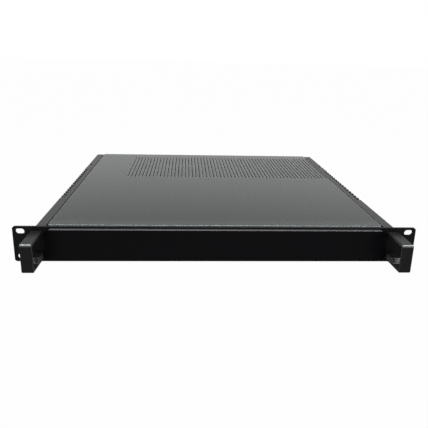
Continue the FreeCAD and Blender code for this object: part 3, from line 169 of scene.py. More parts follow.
def loft(loops):
    # Skin from each closed loop to the next, with one face over the first loop and one over the last.
    # The loops are an array of shells by loops by points by three, and every shell gets the same faces.
    shells, count, around = loops.shape[:3]
    skin = gridFaces(count, around, closed=True)
    firsts = np.arange(shells) * count * around
    quads = (firsts[:, None, None] + skin).reshape(-1, 4)
    ring = np.arange(around)
    caps = np.concatenate([firsts[:, None] + ring[::-1], firsts[:, None] + (count - 1) * around + ring])
    return loops.reshape(-1, 3), quads.tolist() + caps.tolist()


def addObject(name, data):
    thing = bpy.data.objects.new(name, data)
    bpy.context.scene.collection.objects.link(thing)
    return thing


def putPiece(name, slot, shell, body="chassis", finish=None, edgeGlint=None):
    # The shell is its points and faces. A piece without a finish of its own takes its slot's.
    points, faces = shell
    mesh = bpy.data.meshes.new(name)
    mesh.from_pydata(points.tolist(), [], faces)
    work = bmesh.new()
    work.from_mesh(mesh)
    bmesh.ops.recalc_face_normals(work, faces=work.faces)
    work.to_mesh(mesh)
    work.free()
    mesh.shade_smooth()
    mesh.set_sharp_from_angle(angle=sharpAngle)
    mesh.materials.append(finishes[finish or finishOfSlot[slot]])
    # Per-point share of a painted highlight, which the finish turns into a lighter, metallic glint.
    if edgeGlint is not None:
        glints = mesh.attributes.new("edgeGlint", "FLOAT", "POINT")
        glints.data.foreach_set("value", edgeGlint.astype(np.float32))
    piece = addObject(name, mesh)
    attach(piece, body)
    return piece


def roundedOutline(corners, radii, steps):
    # Each corner becomes an arc that touches both its sides: its middle lies on the corner's bisector, and
    # its points turn evenly from one touching point to the other. One radius may stand for all. A corner or edge
    # given as a pair further down is its radius and the number of points on its arc.
    corners = np.array(corners, float)
    radii = np.broadcast_to(radii, len(corners))[:, None]
    toLast = np.roll(corners, 1, axis=0) - corners
    toNext = np.roll(corners, -1, axis=0) - corners
    toLast /= np.linalg.norm(toLast, axis=1, keepdims=True)
    toNext /= np.linalg.norm(toNext, axis=1, keepdims=True)
    half = np.arccos(np.clip((toLast * toNext).sum(axis=1, keepdims=True), -1.0, 1.0)) / 2.0
    inward = toLast + toNext
    inward /= np.linalg.norm(inward, axis=1, keepdims=True)
    middle = corners + inward * radii / np.sin(half)
    begin = corners + toLast * radii / np.tan(half) - middle
    finish = corners + toNext * radii / np.tan(half) - middle
    turn = (math.pi - 2.0 * half)[:, :, None]
    share = np.linspace(0.0, 1.0, steps)[None, :, None]
    arc = (np.sin((1.0 - share) * turn) * begin[:, None] + np.sin(share * turn) * finish[:, None]) / np.sin(turn)
    return (middle[:, None] + arc).reshape(-1, 2)


def inwardNormals(outline):
    # The direction along the outline at a point, from its two neighbours, turned by a quarter towards the inside.
    along = np.roll(outline, -1, axis=0) - np.roll(outline, 1, axis=0)
    along /= np.linalg.norm(along, axis=1, keepdims=True)
    x, y = outline.T
    area = (x * np.roll(y, -1) - np.roll(x, -1) * y).sum()
    return np.stack([-along[:, 1], along[:, 0]], axis=1) * np.sign(area)


def pointsFrom(first, second, third, axes=(0, 1, 2)):
    # Points from three coordinates that are spread over each other. axes says which of X, Y, Z each of them is.
    return np.stack(np.broadcast_arrays(first, second, third), axis=-1)[..., np.argsort(axes)]


def insetLoops(outline, depths, insets, axes):
    # The outline repeated at each depth, moved inwards by that depth's inset.
    depths, insets = np.array(depths, float), np.array(insets, float)
    flat = outline[None] + inwardNormals(outline)[None] * insets[:, None, None]
    return pointsFrom(flat[..., 0], flat[..., 1], depths[:, None], axes)


def softPrism(outline, start, end, edge, axes, steps=5):
    # The outline drawn out from start to end. Near each end it shrinks along a quarter circle of radius edge.
    angle = np.linspace(0.0, math.pi / 2.0, steps)
    depth = edge * (1.0 - np.cos(angle))
    inset = edge * (1.0 - np.sin(angle))
    depths = np.concatenate([start + depth, (end - depth)[::-1]])
    return insetLoops(outline, depths, np.concatenate([inset, inset[::-1]]), axes)


def softBlock(low, high, edge, steps=3):
    # A block with its four upright edges and both ends rounded alike.
    corners = [(low[0], low[1]), (high[0], low[1]), (high[0], high[1]), (low[0], high[1])]
    return softPrism(roundedOutline(corners, edge, steps), low[2], high[2], edge, (0, 1, 2), steps)


def standAt(loops, places):
    # The same loops moved to each place: shell k is the loops plus place k.
    return loops[None] + np.array(places, float)[:, None, None, :]


def evenSteps(count, pitch):
    # Distances of a row's places from its middle.
    return (np.arange(count) - (count - 1) / 2.0) * pitch


def turned(profile, count, axes=(0, 1, 2)):
    # A profile of radius and height, carried once round an axis: the point at angle a is radius times
    # (cos a, sin a) beside the axis.
    profile = np.array(profile, float)
    angle = np.arange(count) * math.tau / count
    radius, height = profile[:, :1], profile[:, 1:]
    return pointsFrom(radius * np.cos(angle), radius * np.sin(angle), height, axes)


# Painted sheet, mouldings, metals and the board, each with its own drift of colour and its own grain.

doorTop = boxOf("front_door")[1][2]

# Each row: colour and second colour, scale of the patches, scale and height of the grain, roughness, metallic share.
lookNames = ("colour", "colourTwo", "patchScale", "grainScale", "grainHeight", "roughness", "metallic")
finishLooks = {
    "coverPaint": ((0.028, 0.038, 0.030), (0.024, 0.034, 0.030), 5.0, 1300.0, 0.00003, (0.24, 0.32), 0.0),
    "chassisPaint": ((0.028, 0.033, 0.028), (0.034, 0.038, 0.034), 9.0, 1400.0, 0.00004, (0.34, 0.44), 0.0),
    "panelPaint": ((0.027, 0.026, 0.031), (0.035, 0.033, 0.038), 14.0, 1600.0, 0.00004, (0.55, 0.66), 0.0),
    "doorPaint": ((0.0024, 0.0019, 0.0046), (0.0032, 0.0027, 0.006), 14.0, 1500.0, 0.00003, (0.34, 0.42), 0.0),
    "handlePaint": ((0.016, 0.016, 0.018), (0.024, 0.024, 0.026), 40.0, 900.0, 0.00008, (0.30, 0.40), 0.0),
    "blackMoulding": ((0.012, 0.012, 0.013), (0.018, 0.018, 0.019), 60.0, 2200.0, 0.00003, (0.45, 0.60), 0.0),
    "greyMoulding": ((0.16, 0.16, 0.17), (0.20, 0.20, 0.20), 60.0, 2200.0, 0.00003, (0.40, 0.55), 0.0),
    "glossMoulding": ((0.010, 0.010, 0.010), (0.014, 0.014, 0.014), 60.0, 500.0, 0.00001, (0.12, 0.20), 0.0),
    "zincSheet": ((0.54, 0.55, 0.55), (0.60, 0.61, 0.60), 60.0, 500.0, 0.000006, (0.30, 0.40), 1.0),
    "brightSteel": ((0.62, 0.62, 0.61), (0.70, 0.70, 0.69), 90.0, 900.0, 0.00001, (0.20, 0.32), 1.0),
    "blackOxide": ((0.020, 0.020, 0.021), (0.032, 0.032, 0.033), 150.0, 900.0, 0.00001, (0.28, 0.40), 0.6),
    "nickelShell": ((0.60, 0.60, 0.58), (0.70, 0.70, 0.68), 120.0, 700.0, 0.000008, (0.15, 0.25), 1.0),
    "goldPlate": ((0.80, 0.58, 0.24), (0.86, 0.66, 0.32), 300.0, 900.0, 0.000005, (0.14, 0.24), 1.0),
    "driveMetal": ((0.42, 0.43, 0.44), (0.52, 0.53, 0.54), 50.0, 600.0, 0.00002, (0.35, 0.50), 1.0),
    "finMetal": ((0.70, 0.71, 0.72), (0.78, 0.79, 0.80), 60.0, 500.0, 0.00001, (0.30, 0.42), 1.0),
    "turnedBrass": ((0.66, 0.48, 0.20), (0.75, 0.56, 0.26), 200.0, 900.0, 0.00001, (0.20, 0.35), 1.0),
    "foam": ((0.014, 0.014, 0.014), (0.035, 0.035, 0.035), 400.0, 900.0, 0.0006, (0.85, 1.00), 0.0),
    "leadJacket": ((0.013, 0.013, 0.013), (0.020, 0.020, 0.020), 150.0, 1500.0, 0.00003, (0.45, 0.60), 0.0),
    "sinteredMagnet": ((0.30, 0.30, 0.31), (0.38, 0.38, 0.39), 300.0, 1200.0, 0.00002, (0.40, 0.55), 1.0),
    "lightPipe": ((0.55, 0.60, 0.56), (0.65, 0.69, 0.66), 300.0, 600.0, 0.00001, (0.08, 0.15), 0.0),
    "bluePlastic": ((0.010, 0.030, 0.16), (0.014, 0.040, 0.20), 200.0, 2500.0, 0.00002, (0.40, 0.50), 0.0),
    "ferrite": ((0.045, 0.045, 0.047), (0.075, 0.074, 0.073), 500.0, 2500.0, 0.00005, (0.55, 0.70), 0.0),
    "boardGreen": ((0.010, 0.075, 0.030), (0.020, 0.120, 0.050), 700.0, 900.0, 0.00004, (0.30, 0.45), 0.0),
}
usualLook = {"ior": 1.5, "bump": 0.3, "stretch": (1.0, 1.0, 1.0)}
# The entries with a share and a lighter colour are painted highlights, not real wear: edges turned lighter and metallic
# so they glint, on the cover's front roll, the door's top face and upper edge, and three corners of each handle.
finishExtras = {
    "coverPaint": {"paintedGlint": {"share": 0.6, "colour": (0.42, 0.48, 0.46)}},
    "panelPaint": {"ior": 1.3},
    "doorPaint": {"ior": 1.35, "paintedGlint": {"share": 0.45, "colour": (0.42, 0.44, 0.45),
                                        "heights": (doorTop - 0.7 * mm, doorTop)}},
    "handlePaint": {"paintedGlint": {"share": 0.8, "colour": (0.50, 0.52, 0.52)}},
    "zincSheet": {"stretch": (0.06, 1.0, 1.0)},
    "finMetal": {"stretch": (1.0, 0.04, 1.0)},
    "foam": {"bump": 1.0},
}
finishes = {name: makeFinish(name, {**usualLook, **dict(zip(lookNames, row)), **finishExtras.get(name, {})})
            for name, row in finishLooks.items()}
print("finishes made:", len(finishes))

finishOfSlot = {
    "body_steel": "zincSheet", "body_paint": "chassisPaint", "cover_paint": "coverPaint",
    "bright_steel": "brightSteel", "black_paint": "panelPaint", "cast_black": "handlePaint",
    "black_plastic": "blackMoulding", "grey_plastic": "greyMoulding", "fan_plastic": "blackMoulding",
    "gloss_black": "glossMoulding", "clear_plastic": "lightPipe", "circuit_board": "boardGreen",
    "plated_shell": "nickelShell", "drive_metal": "driveMetal", "fin_metal": "finMetal",
    "standoff_brass": "turnedBrass", "filter_foam": "foam", "lead_jacket": "leadJacket",
    "magnet": "sinteredMagnet",
}
slotOfNode = {part["node"]: part["material_slot"] for part in frame["record"]["subparts"]}
for nodeName, node in nodes.items():
    finish = "doorPaint" if nodeName == "front_door" else finishOfSlot[slotOfNode[nodeName]]
    node.data.materials.clear()
    node.data.materials.append(finishes[finish])
print("nodes dressed:", len(nodes))


# Carrying handles: one outline of the cast loop, open towards the panel, drawn out across its width.

handleShape = {
    "bar": 4.0 * mm,            # thickness of the grip and of the two arms
    "foot": 20.0 * mm,          # length of the thick part that the screws enter
    "footRise": 8.3 * mm,
    "slope": 6.4 * mm,          # length of the ramp from foot to arm
    "outerRadius": 3.0 * mm,
    "innerRadius": 1.6 * mm,
    "edge": 0.7 * mm,
    "steps": 7,                 # points on each corner's arc
    "glints": (2, 9, 10),         # corners with a painted highlight: upper front one, and both ends of the lower ramp
}


def cornerGlint(corners, steps, glints, total):
    # Painted highlight: one in the middle of each glinting corner's arc, falling to nothing at its two ends as a sine
    # does.
    paintedGlint = np.zeros((corners, steps))
    paintedGlint[list(glints)] = np.sin(np.linspace(0.0, math.pi, steps))
    return np.resize(paintedGlint, total)


def makeHandle(nodeName):
    # Outline in Y and Z: a C with its back on the panel. Its corners are arcs, and both faces have soft edges.
    shape = handleShape
    low, high = boxOf(nodeName)
    front, back = low[1], high[1]
    bottom, top = low[2], high[2]
    bar, rise = shape["bar"], shape["footRise"]
    footFront = back - shape["foot"]
    slopeFront = footFront - shape["slope"]
    corners = [(back, bottom), (front, bottom), (front, top), (back, top), (back, top - rise),
               (footFront, top - rise), (slopeFront, top - bar), (front + bar, top - bar),
               (front + bar, bottom + bar), (slopeFront, bottom + bar), (footFront, bottom + rise),
               (back, bottom + rise)]
    outer, inner, sharp = shape["outerRadius"], shape["innerRadius"], shape["edge"]
    radii = [sharp, outer, outer, sharp, sharp] + [inner] * 6 + [sharp]
    outline = roundedOutline(corners, radii, shape["steps"])
    points, faces = loft(softPrism(outline, low[0], high[0], shape["edge"], (1, 2, 0))[None])
    # Three corners carry a painted highlight, so that they glint.
    piece = putPiece(nodeName.replace("_handle", "Grip"), "cast_black", (points, faces),
                     edgeGlint=cornerGlint(len(corners), shape["steps"], shape["glints"], len(points)))
    piece.modifiers.new("flatNormals", "WEIGHTED_NORMAL").keep_sharp = True
    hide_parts(nodeName)


for side in ("left", "right"):
    makeHandle(side + "_handle")
print("handles made")


# Cover: one sheet in a grid of lines across and lines along, folded down at both sides and at the rear.

coverShape = {
    "thick": 1.2 * mm,
    "foldRadius": 1.6 * mm,
    "frontRadius": 1.8 * mm,    # rolled-down front edge, at the middle of the sheet
    "glintWidth": 2.2 * mm,      # how far back from it the painted highlight reaches
    "sideTrim": 0.4 * mm,       # shadow line beside the flanges, over the solid's own gap
    "lip": 3.5 * mm,            # depth of the folded edges below the flat's lower face
    "slotLeft": -135.0 * mm,    # middle of the first column
    "columns": 57,
    "columnPitch": 5.95 * mm,
    "slotWidth": 1.5 * mm,
    "fieldLength": 162.0 * mm,
    "rearMargin": 33.0 * mm,
    "rows": 12,
    "bridge": 1.4 * mm,         # sheet left between one slot and the next of its column
    "foldSteps": 6,             # lines along a folded edge's arc, along the front roll's, and over the plain parts
    "rollSteps": 8,
    "plainSteps": 12,
    "sideSteps": 5,
}


def foldLine(flat, depth, radius, steps):
    # Distance out and drop of a fold: the flat ends at the arc, the arc turns a quarter, and a straight part follows.
    angle = np.linspace(0.0, math.pi / 2.0, steps)
    out = np.concatenate([flat - radius + radius * np.sin(angle), [flat]])
    drop = np.concatenate([radius * (1.0 - np.cos(angle)), [depth]])
    return out, drop


def makeCover():
    # Grid point (i, j) is (across of line i, along of line j, top less both drops). Each vent cell is four by four
    # grid squares, and its faces are replaced by a ring between the cell's edge and a slot with round ends.
    shape = coverShape
    low, high = boxOf("top_cover")
    half = shape["thick"] / 2.0
    top = high[2] - half
    depth = half + shape["lip"]
    out, drop = foldLine(high[0] - shape["sideTrim"] - half, depth, shape["foldRadius"], shape["foldSteps"])
    count, rows = shape["columns"], shape["rows"]
    rearOut, rearDrop = foldLine(high[1] - half, depth, shape["foldRadius"], shape["foldSteps"])
    fieldLeft = shape["slotLeft"] - shape["columnPitch"] / 2.0
    ventAcross = fieldLeft + np.arange(4 * count + 1) * shape["columnPitch"] / 4.0
    fieldRear = high[1] - shape["rearMargin"]
    rowPitch = shape["fieldLength"] / rows
    ventAlong = fieldRear - shape["fieldLength"] + np.arange(4 * rows + 1) * rowPitch / 4.0
    roll = shape["frontRadius"]
    rollAngle = np.linspace(math.pi / 2.0, 0.0, shape["rollSteps"])
    rollAlong = low[1] + half + roll * (1.0 - np.sin(rollAngle))
    rollDrop = roll * (1.0 - np.cos(rollAngle))
    plainAlong = np.concatenate([rollAlong, np.linspace(rollAlong[-1], ventAlong[0], shape["plainSteps"])[1:-1]])
    nearLeft = np.linspace(-out[0], ventAcross[0], shape["sideSteps"])[1:-1]
    nearRight = np.linspace(ventAcross[-1], out[0], shape["sideSteps"])[1:-1]
    across = np.concatenate([-out[::-1], nearLeft, ventAcross, nearRight, out])
    acrossDrop = np.concatenate([drop[::-1], np.zeros(len(across) - 2 * len(drop)), drop])
    along = np.concatenate([plainAlong, ventAlong, rearOut])
    alongDrop = np.concatenate([rollDrop, np.zeros(len(along) - len(rearDrop) - len(rollDrop)), rearDrop])
    points = pointsFrom(across[:, None], along[None], top - acrossDrop[:, None] - alongDrop[None])

    squares = gridFaces(len(across), len(along)).reshape(len(across) - 1, len(along) - 1, 4)
    firstAcross = len(out) + len(nearLeft)
    firstAlong = len(plainAlong)
    # Squares that would bend both ways at a corner of the sheet are left out, as are those of the vent field.
    bentAcross, bentAlong = [drops[:-1] + drops[1:] > 0 for drops in (acrossDrop, alongDrop)]
    keep = ~(bentAcross[:, None] & bentAlong[None])
    keep[firstAcross:firstAcross + 4 * count, firstAlong:firstAlong + 4 * rows] = False

    walk = np.array([(0, 0), (1, 0), (2, 0), (3, 0), (4, 0), (4, 1), (4, 2), (4, 3),
                     (4, 4), (3, 4), (2, 4), (1, 4), (0, 4), (0, 3), (0, 2), (0, 1)])
    column, row = np.meshgrid(np.arange(count), np.arange(rows), indexing="ij")
    edgeAcross = firstAcross + 4 * column.reshape(-1, 1) + walk[:, 0]
    edgeAlong = firstAlong + 4 * row.reshape(-1, 1) + walk[:, 1]
    edgeNumber = edgeAcross * len(along) + edgeAlong
    # The slot's rim: a half circle at either end, its points facing the walk round the cell's edge.
    radius = shape["slotWidth"] / 2.0
    straight = (rowPitch - shape["bridge"]) / 2.0 - radius
    centred = (walk - 2.0) / 2.0
    angle = np.arctan2(centred[:, 1], centred[:, 0])
    ends = np.abs(centred[:, 1]) == 1.0
    rim = np.stack([radius * np.cos(angle), radius * np.sin(angle) + straight * np.sign(centred[:, 1])], axis=1)
    rim[~ends] = np.stack([np.sign(centred[~ends, 0]) * radius, centred[~ends, 1] * 2.0 * straight], axis=1)
    middles = np.stack([ventAcross[2::4][column.reshape(-1)], ventAlong[2::4][row.reshape(-1)]], axis=1)
    rims = np.insert(middles[:, None] + rim, 2, top, axis=2)
    rimNumber = points.shape[0] * points.shape[1] + np.arange(rims.shape[0] * len(walk)).reshape(-1, len(walk))
    ring = [edgeNumber, np.roll(edgeNumber, -1, axis=1), np.roll(rimNumber, -1, axis=1), rimNumber]
    rings = np.stack(ring, axis=-1).reshape(-1, 4)
    # Points that no face uses are dropped.
    used, faces = np.unique(np.concatenate([squares[keep], rings]), return_inverse=True)
    points = np.concatenate([points.reshape(-1, 3), rims.reshape(-1, 3)])[used]
    # Painted highlight along the rolled front edge, fading to nothing over the given width behind it.
    glints = np.clip(1.0 - (points[:, 1] - low[1] - half) / shape["glintWidth"], 0.0, 1.0)
    cover = putPiece("slottedCover", "cover_paint", (points, faces.reshape(-1, 4).tolist()), "top_cover", edgeGlint=glints)
    sheet = cover.modifiers.new("sheet", "SOLIDIFY")
    sheet.thickness = shape["thick"]
    sheet.offset = 0.0
    cover.modifiers.new("flatNormals", "WEIGHTED_NORMAL").keep_sharp = True
    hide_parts("top_cover")


makeCover()
print("cover made")


# Fan rotors: a cup-shaped hub with a rounded rim, its shaft, and seven twisted and cambered blades.

rotorShape = {
    "blades": 7,
    "hubShare": 0.55,           # hub radius over blade tip radius
    "hubRound": 1.2 * mm,
    "dish": 0.5 * mm,           # depth of the hollow in the hub's face
    "dishShare": 0.62,          # its radius over the hub's, and the width of its sloping rim
    "dishSlope": 0.5 * mm,
    "shaftRadius": 1.5 * mm,
    "shaftLength": 4.0 * mm,
    "shaftBevel": 0.3 * mm,
    "pole": 0.1 * mm,           # radius of the hub's first and last rings
    "hubSteps": (6, 48),        # rings of the rounded rim, points round each ring
    "chord": 13.0 * mm,
    "chordGrowth": 0.2,         # added share at the tip
    "rootPitch": math.radians(50.0),
    "rootShare": 0.97,          # where a blade starts, inside the hub
    "thick": 1.1 * mm,
    "camber": 0.09,             # rise of the middle line over the chord
    "sweep": 0.25,              # turn of the tip ahead of the root, in radians
    "bladeSteps": (9, 28),      # sections of a blade, points round each section
}


def hubLoops(shape, hub, front, back, end):
    # Radius and height along the cup: dished face, quarter circle, side, inner end and shaft.
    rings, around = shape["hubSteps"]
    angle = np.linspace(0.0, math.pi / 2.0, rings)
    rim = np.stack([hub - shape["hubRound"] * (1.0 - np.sin(angle)),
                    front + shape["hubRound"] * (1.0 - np.cos(angle))], axis=1)
    dishRadius, dishFloor = hub * shape["dishShare"], front + shape["dish"]
    shaft, bevel, pole = shape["shaftRadius"], shape["shaftBevel"], shape["pole"]
    face = [(pole, dishFloor), (dishRadius - shape["dishSlope"], dishFloor), (dishRadius, front)]
    tail = [(hub, back), (shaft, back), (shaft, end - bevel), (shaft - bevel, end), (pole, end)]
    return turned(np.concatenate([face, rim, tail]), around, (0, 2, 1))


def bladeLoops(shape, hub, tip, middle):
    # A point at a share of the span and at angle u round the section, with chord c and thickness t: the flat part
    # is c/2 cos u, and the part across it t/2 sin u plus the camber times c times sin u squared. Both turn by the
    # pitch, whose tangent falls as one over the radius, and the tangential part is wound round the axis.
    sections, points = shape["bladeSteps"]
    blade = np.arange(shape["blades"])[:, None, None] * math.tau / shape["blades"]
    share = np.linspace(0.0, 1.0, sections)[:, None]
    around = np.linspace(0.0, math.tau, points, endpoint=False)
    root = hub * shape["rootShare"]
    radius = root + share * (tip - root)
    pitch = np.arctan(math.tan(shape["rootPitch"]) * hub / radius)
    chord = shape["chord"] * (1.0 + shape["chordGrowth"] * share)
    flat = chord / 2.0 * np.cos(around)
    lift = shape["thick"] / 2.0 * np.sin(around) + shape["camber"] * chord * np.sin(around) ** 2
    tangential = flat * np.cos(pitch) - lift * np.sin(pitch)
    axial = flat * np.sin(pitch) + lift * np.cos(pitch)
    turn = blade + shape["sweep"] * share + tangential / radius
    return pointsFrom(radius * np.cos(turn), middle + axial, radius * np.sin(turn))


def joinShells(*parts):
    # Several closed shells as one mesh: each part's corner numbers move up by the points before it.
    points, faces, first = [], [], 0
    for partPoints, partFaces in parts:
        points.append(partPoints)
        faces += [[first + corner for corner in face] for face in partFaces]
        first += len(partPoints)
    return np.concatenate(points), faces


def makeRotor(nodeName):
    shape = rotorShape
    joint = next(entry for entry in frame["joints"] if entry["child"] == nodeName)
    axisX, _, axisZ = joint["pos_m"]
    low, high = boxOf(nodeName)
    tip = max(high[0] - axisX, axisX - low[0], high[2] - axisZ, axisZ - low[2])
    hub = tip * shape["hubShare"]
    back = high[1] - shape["shaftLength"]
    cup = loft(hubLoops(shape, hub, low[1], back, high[1])[None] + (axisX, 0.0, axisZ))
    blades = loft(bladeLoops(shape, hub, tip, (low[1] + back) / 2.0) + (axisX, 0.0, axisZ))
    piece = putPiece(nodeName.replace("_rotor", "Impeller"), "fan_plastic", joinShells(cup, blades), nodeName)
    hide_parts(nodeName)


for nodeName in sorted(nodes):
    if "fan_rotor" in nodeName:
        makeRotor(nodeName)
print("fan rotors made")


# Pan-head screws with a cross recess and a threaded shank.

screwShape = {
    "headRadius": 2.75 * mm,
    "headHeight": 2.0 * mm,
    "crown": 0.35,              # fall of the head's top at its rim, over the head's height
    "sideShare": 0.55,          # height of its straight side
    "shankRadius": 1.5 * mm,
    "threadDepth": 0.18 * mm,
    "threadPitch": 0.5 * mm,
    "ringStep": 0.25,           # rings of the thread, in pitches
    "tipLength": 0.6 * mm,
    "tipShare": 0.6,            # radius of the tip over the shank's
    "recessReach": 1.55 * mm,
    "recessHalfWidth": 0.38 * mm,
    "recessDepth": 1.1 * mm,
    "recessTaper": 0.5,         # share of its depth lost at the ends of its arms
    "headRings": (0.04, 0.97, 12),    # first and last ring over the head's radius, and how many
    "around": 40,
}


def screwLoops(shape, length):
    # Around the axis at angle a. Head: height falls with the square of the radius, and inside the cross it is
    # lower by the recess. Shank: the radius rises and falls once per pitch, and the wave climbs with the angle.
    around, reach = shape["around"], shape["recessReach"]
    angle = np.arange(around) * math.tau / around
    headRadius, headHeight = shape["headRadius"], shape["headHeight"]
    radius = np.linspace(*shape["headRings"])[:, None] * headRadius
    height = headHeight * (1.0 - shape["crown"] * (radius / headRadius) ** 2)
    x, y = radius * np.cos(angle), radius * np.sin(angle)
    acrossArm, alongArm = np.minimum(np.abs(x), np.abs(y)), np.maximum(np.abs(x), np.abs(y))
    inCross = (acrossArm < shape["recessHalfWidth"]) & (alongArm < reach)
    height = height - shape["recessDepth"] * inCross * (1.0 - shape["recessTaper"] * alongArm / reach)
    side = turned([(headRadius, shape["sideShare"] * headHeight), (headRadius, 0.0)], around)
    pitch, shankRadius = shape["threadPitch"], shape["shankRadius"]
    depth = np.linspace(0.0, length - shape["tipLength"], int(length / (shape["ringStep"] * pitch)))[:, None]
    phase = np.mod(depth / pitch + angle / math.tau, 1.0)
    threaded = shankRadius - shape["threadDepth"] * np.abs(2.0 * phase - 1.0)
    shank = pointsFrom(threaded * np.cos(angle), threaded * np.sin(angle), -depth)
    tip = turned([(shape["tipShare"] * shankRadius, -length)], around)
    return np.concatenate([pointsFrom(x, y, height), side, shank, tip])


def makeScrews(pieceName, nodeName, finish=None):
    # One screw in each corner of the node's box. The heads are at its rear, and the shanks run to the front.
    shape = screwShape
    low, high = boxOf(nodeName)
    inset = shape["headRadius"]
    seat = high[1] - shape["headHeight"]
    places = [(x, seat, z) for x in (low[0] + inset, high[0] - inset) for z in (low[2] + inset, high[2] - inset)]
    screw = screwLoops(shape, seat - low[1])[..., [0, 2, 1]]
    piece = putPiece(pieceName, "bright_steel", loft(standAt(screw, places)), finish=finish)
    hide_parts(nodeName)


makeScrews("handleScrews", "handle_screws")
makeScrews("psuScrews", "psu_screws", "blackOxide")
print("screws made")


# Toes of the cover: an L in Y and Z drawn across the thickness of the lip, three on each side.

toeShape = {
    "first": 60.0 * mm,
    "pitch": 165.0 * mm,
    "count": 3,
    "neck": 6.0 * mm,
    "reach": 8.0 * mm,
    "height": 1.2 * mm,
    "edge": 0.3 * mm,
    "steps": (4, 3),            # points on a corner's arc, and rings of a rounded side
}


def makeToes():
    shape = toeShape
    low, high = boxOf("top_cover")
    lipLow = high[2] - coverShape["thick"] - coverShape["lip"]
    toeTop = low[2] + shape["height"]
    corners = [(-shape["reach"], low[2]), (shape["neck"], low[2]), (shape["neck"], lipLow + shape["edge"]),
               (0.0, lipLow + shape["edge"]), (0.0, toeTop), (-shape["reach"], toeTop)]
    arcSteps, sideSteps = shape["steps"]
    outline = roundedOutline(corners, shape["edge"], arcSteps)
    outer = high[0] - coverShape["sideTrim"]
    toe = softPrism(outline, outer - coverShape["thick"], outer, shape["edge"], (1, 2, 0), sideSteps)
    along = shape["first"] + shape["pitch"] * np.arange(shape["count"])
    right = standAt(toe, [(0.0, step, 0.0) for step in along])
    left = right * (-1.0, 1.0, 1.0)
    putPiece("coverToes", "cover_paint", joinShells(loft(right), loft(left)), "top_cover")


makeToes()
print("cover toes made")


# Rear D connectors: body, hollow nose, jack posts, and an insert with pins or with pin holes.

plugShape = {
    "noseHalves": (8.4 * mm, 7.2 * mm, 4.0 * mm),    # half its upper and lower widths, half its height
    "noseCorner": (1.8 * mm, 7),
    "noseLength": 5.7 * mm,
    "noseRoot": 0.3 * mm,       # how far the nose starts inside the flange
    "noseWall": 0.5 * mm,
    "noseLip": 0.2 * mm,        # rounding of the nose's open end
    "flange": 0.6 * mm,
    "flangeEdge": 0.2 * mm,
    "bodySide": 1.0 * mm,       # the flange stands past the body by this at each side
    "bodyTop": 0.4 * mm,        # and by this above
    "bodyEdge": 0.3 * mm,
    "postRadius": 2.4 * mm,
    "postReach": 12.5 * mm,
    "postShort": 1.5 * mm,      # how far a post's end lies inside the nose's end
    "postRim": 0.25 * mm,
    "postAround": 36,
    "boreRadius": 1.4 * mm,
    "boreDepth": 3.0 * mm,
    "boreTip": 0.2 * mm,
    "insertDepth": 0.7 * mm,    # front of the insert beyond the nose's floor
    "insertEdge": 0.1 * mm,
    "pinAround": 16,
}

# A pin's profile, or that of a pin hole's lining, is radius and height over the insert in millimetres.
# Each row of pins: how many, how high over the middle, and how far it is shifted along.
plugKinds = {
    "serial_port": {"piece": "serialPlug", "insert": "blackMoulding", "floor": 1.0 * mm,
                    "pinSlot": "plated_shell", "pinFinish": "goldPlate", "pitch": 2.77 * mm,
                    "profile": ((0.05, -0.4), (0.5, -0.4), (0.5, 2.7), (0.4, 3.0), (0.05, 3.2)),
                    "rows": ((5, 1.42 * mm, 0.0), (4, -1.42 * mm, 0.0))},
    "display_port": {"piece": "displayPlug", "insert": "bluePlastic", "floor": 3.9 * mm,
                     "pinSlot": "black_plastic", "pinFinish": "blackMoulding", "pitch": 2.29 * mm,
                     "profile": ((0.05, -0.62), (0.45, -0.62), (0.5, 0.08), (0.725, 0.08), (0.75, -0.02),
                                 (0.75, -0.92), (0.05, -0.92)),
                     "rows": ((5, 1.98 * mm, 0.57 * mm), (5, 0.0, -0.57 * mm), (5, -1.98 * mm, 0.57 * mm))},
}


def hexPost(shape, base, end):
    # Radius at angle a: r cos 30 over cos of the angle to its side's middle. The bore is round.
    angle = np.arange(shape["postAround"]) * math.tau / shape["postAround"]
    side = shape["postRadius"] * math.cos(math.pi / 6.0)
    hexagon = side / np.cos(np.mod(angle, math.pi / 3.0) - math.pi / 6.0)
    bore = shape["boreRadius"] + 0.0 * angle
    rim, floor = shape["postRim"], end - shape["boreDepth"]
    radii = np.stack([hexagon, hexagon, hexagon - rim, bore + rim, bore, bore, 0.1 * bore])
    depths = np.array([base, end - rim, end, end, end - rim, floor, floor - shape["boreTip"]])
    return pointsFrom(radii * np.cos(angle), depths[:, None], radii * np.sin(angle))


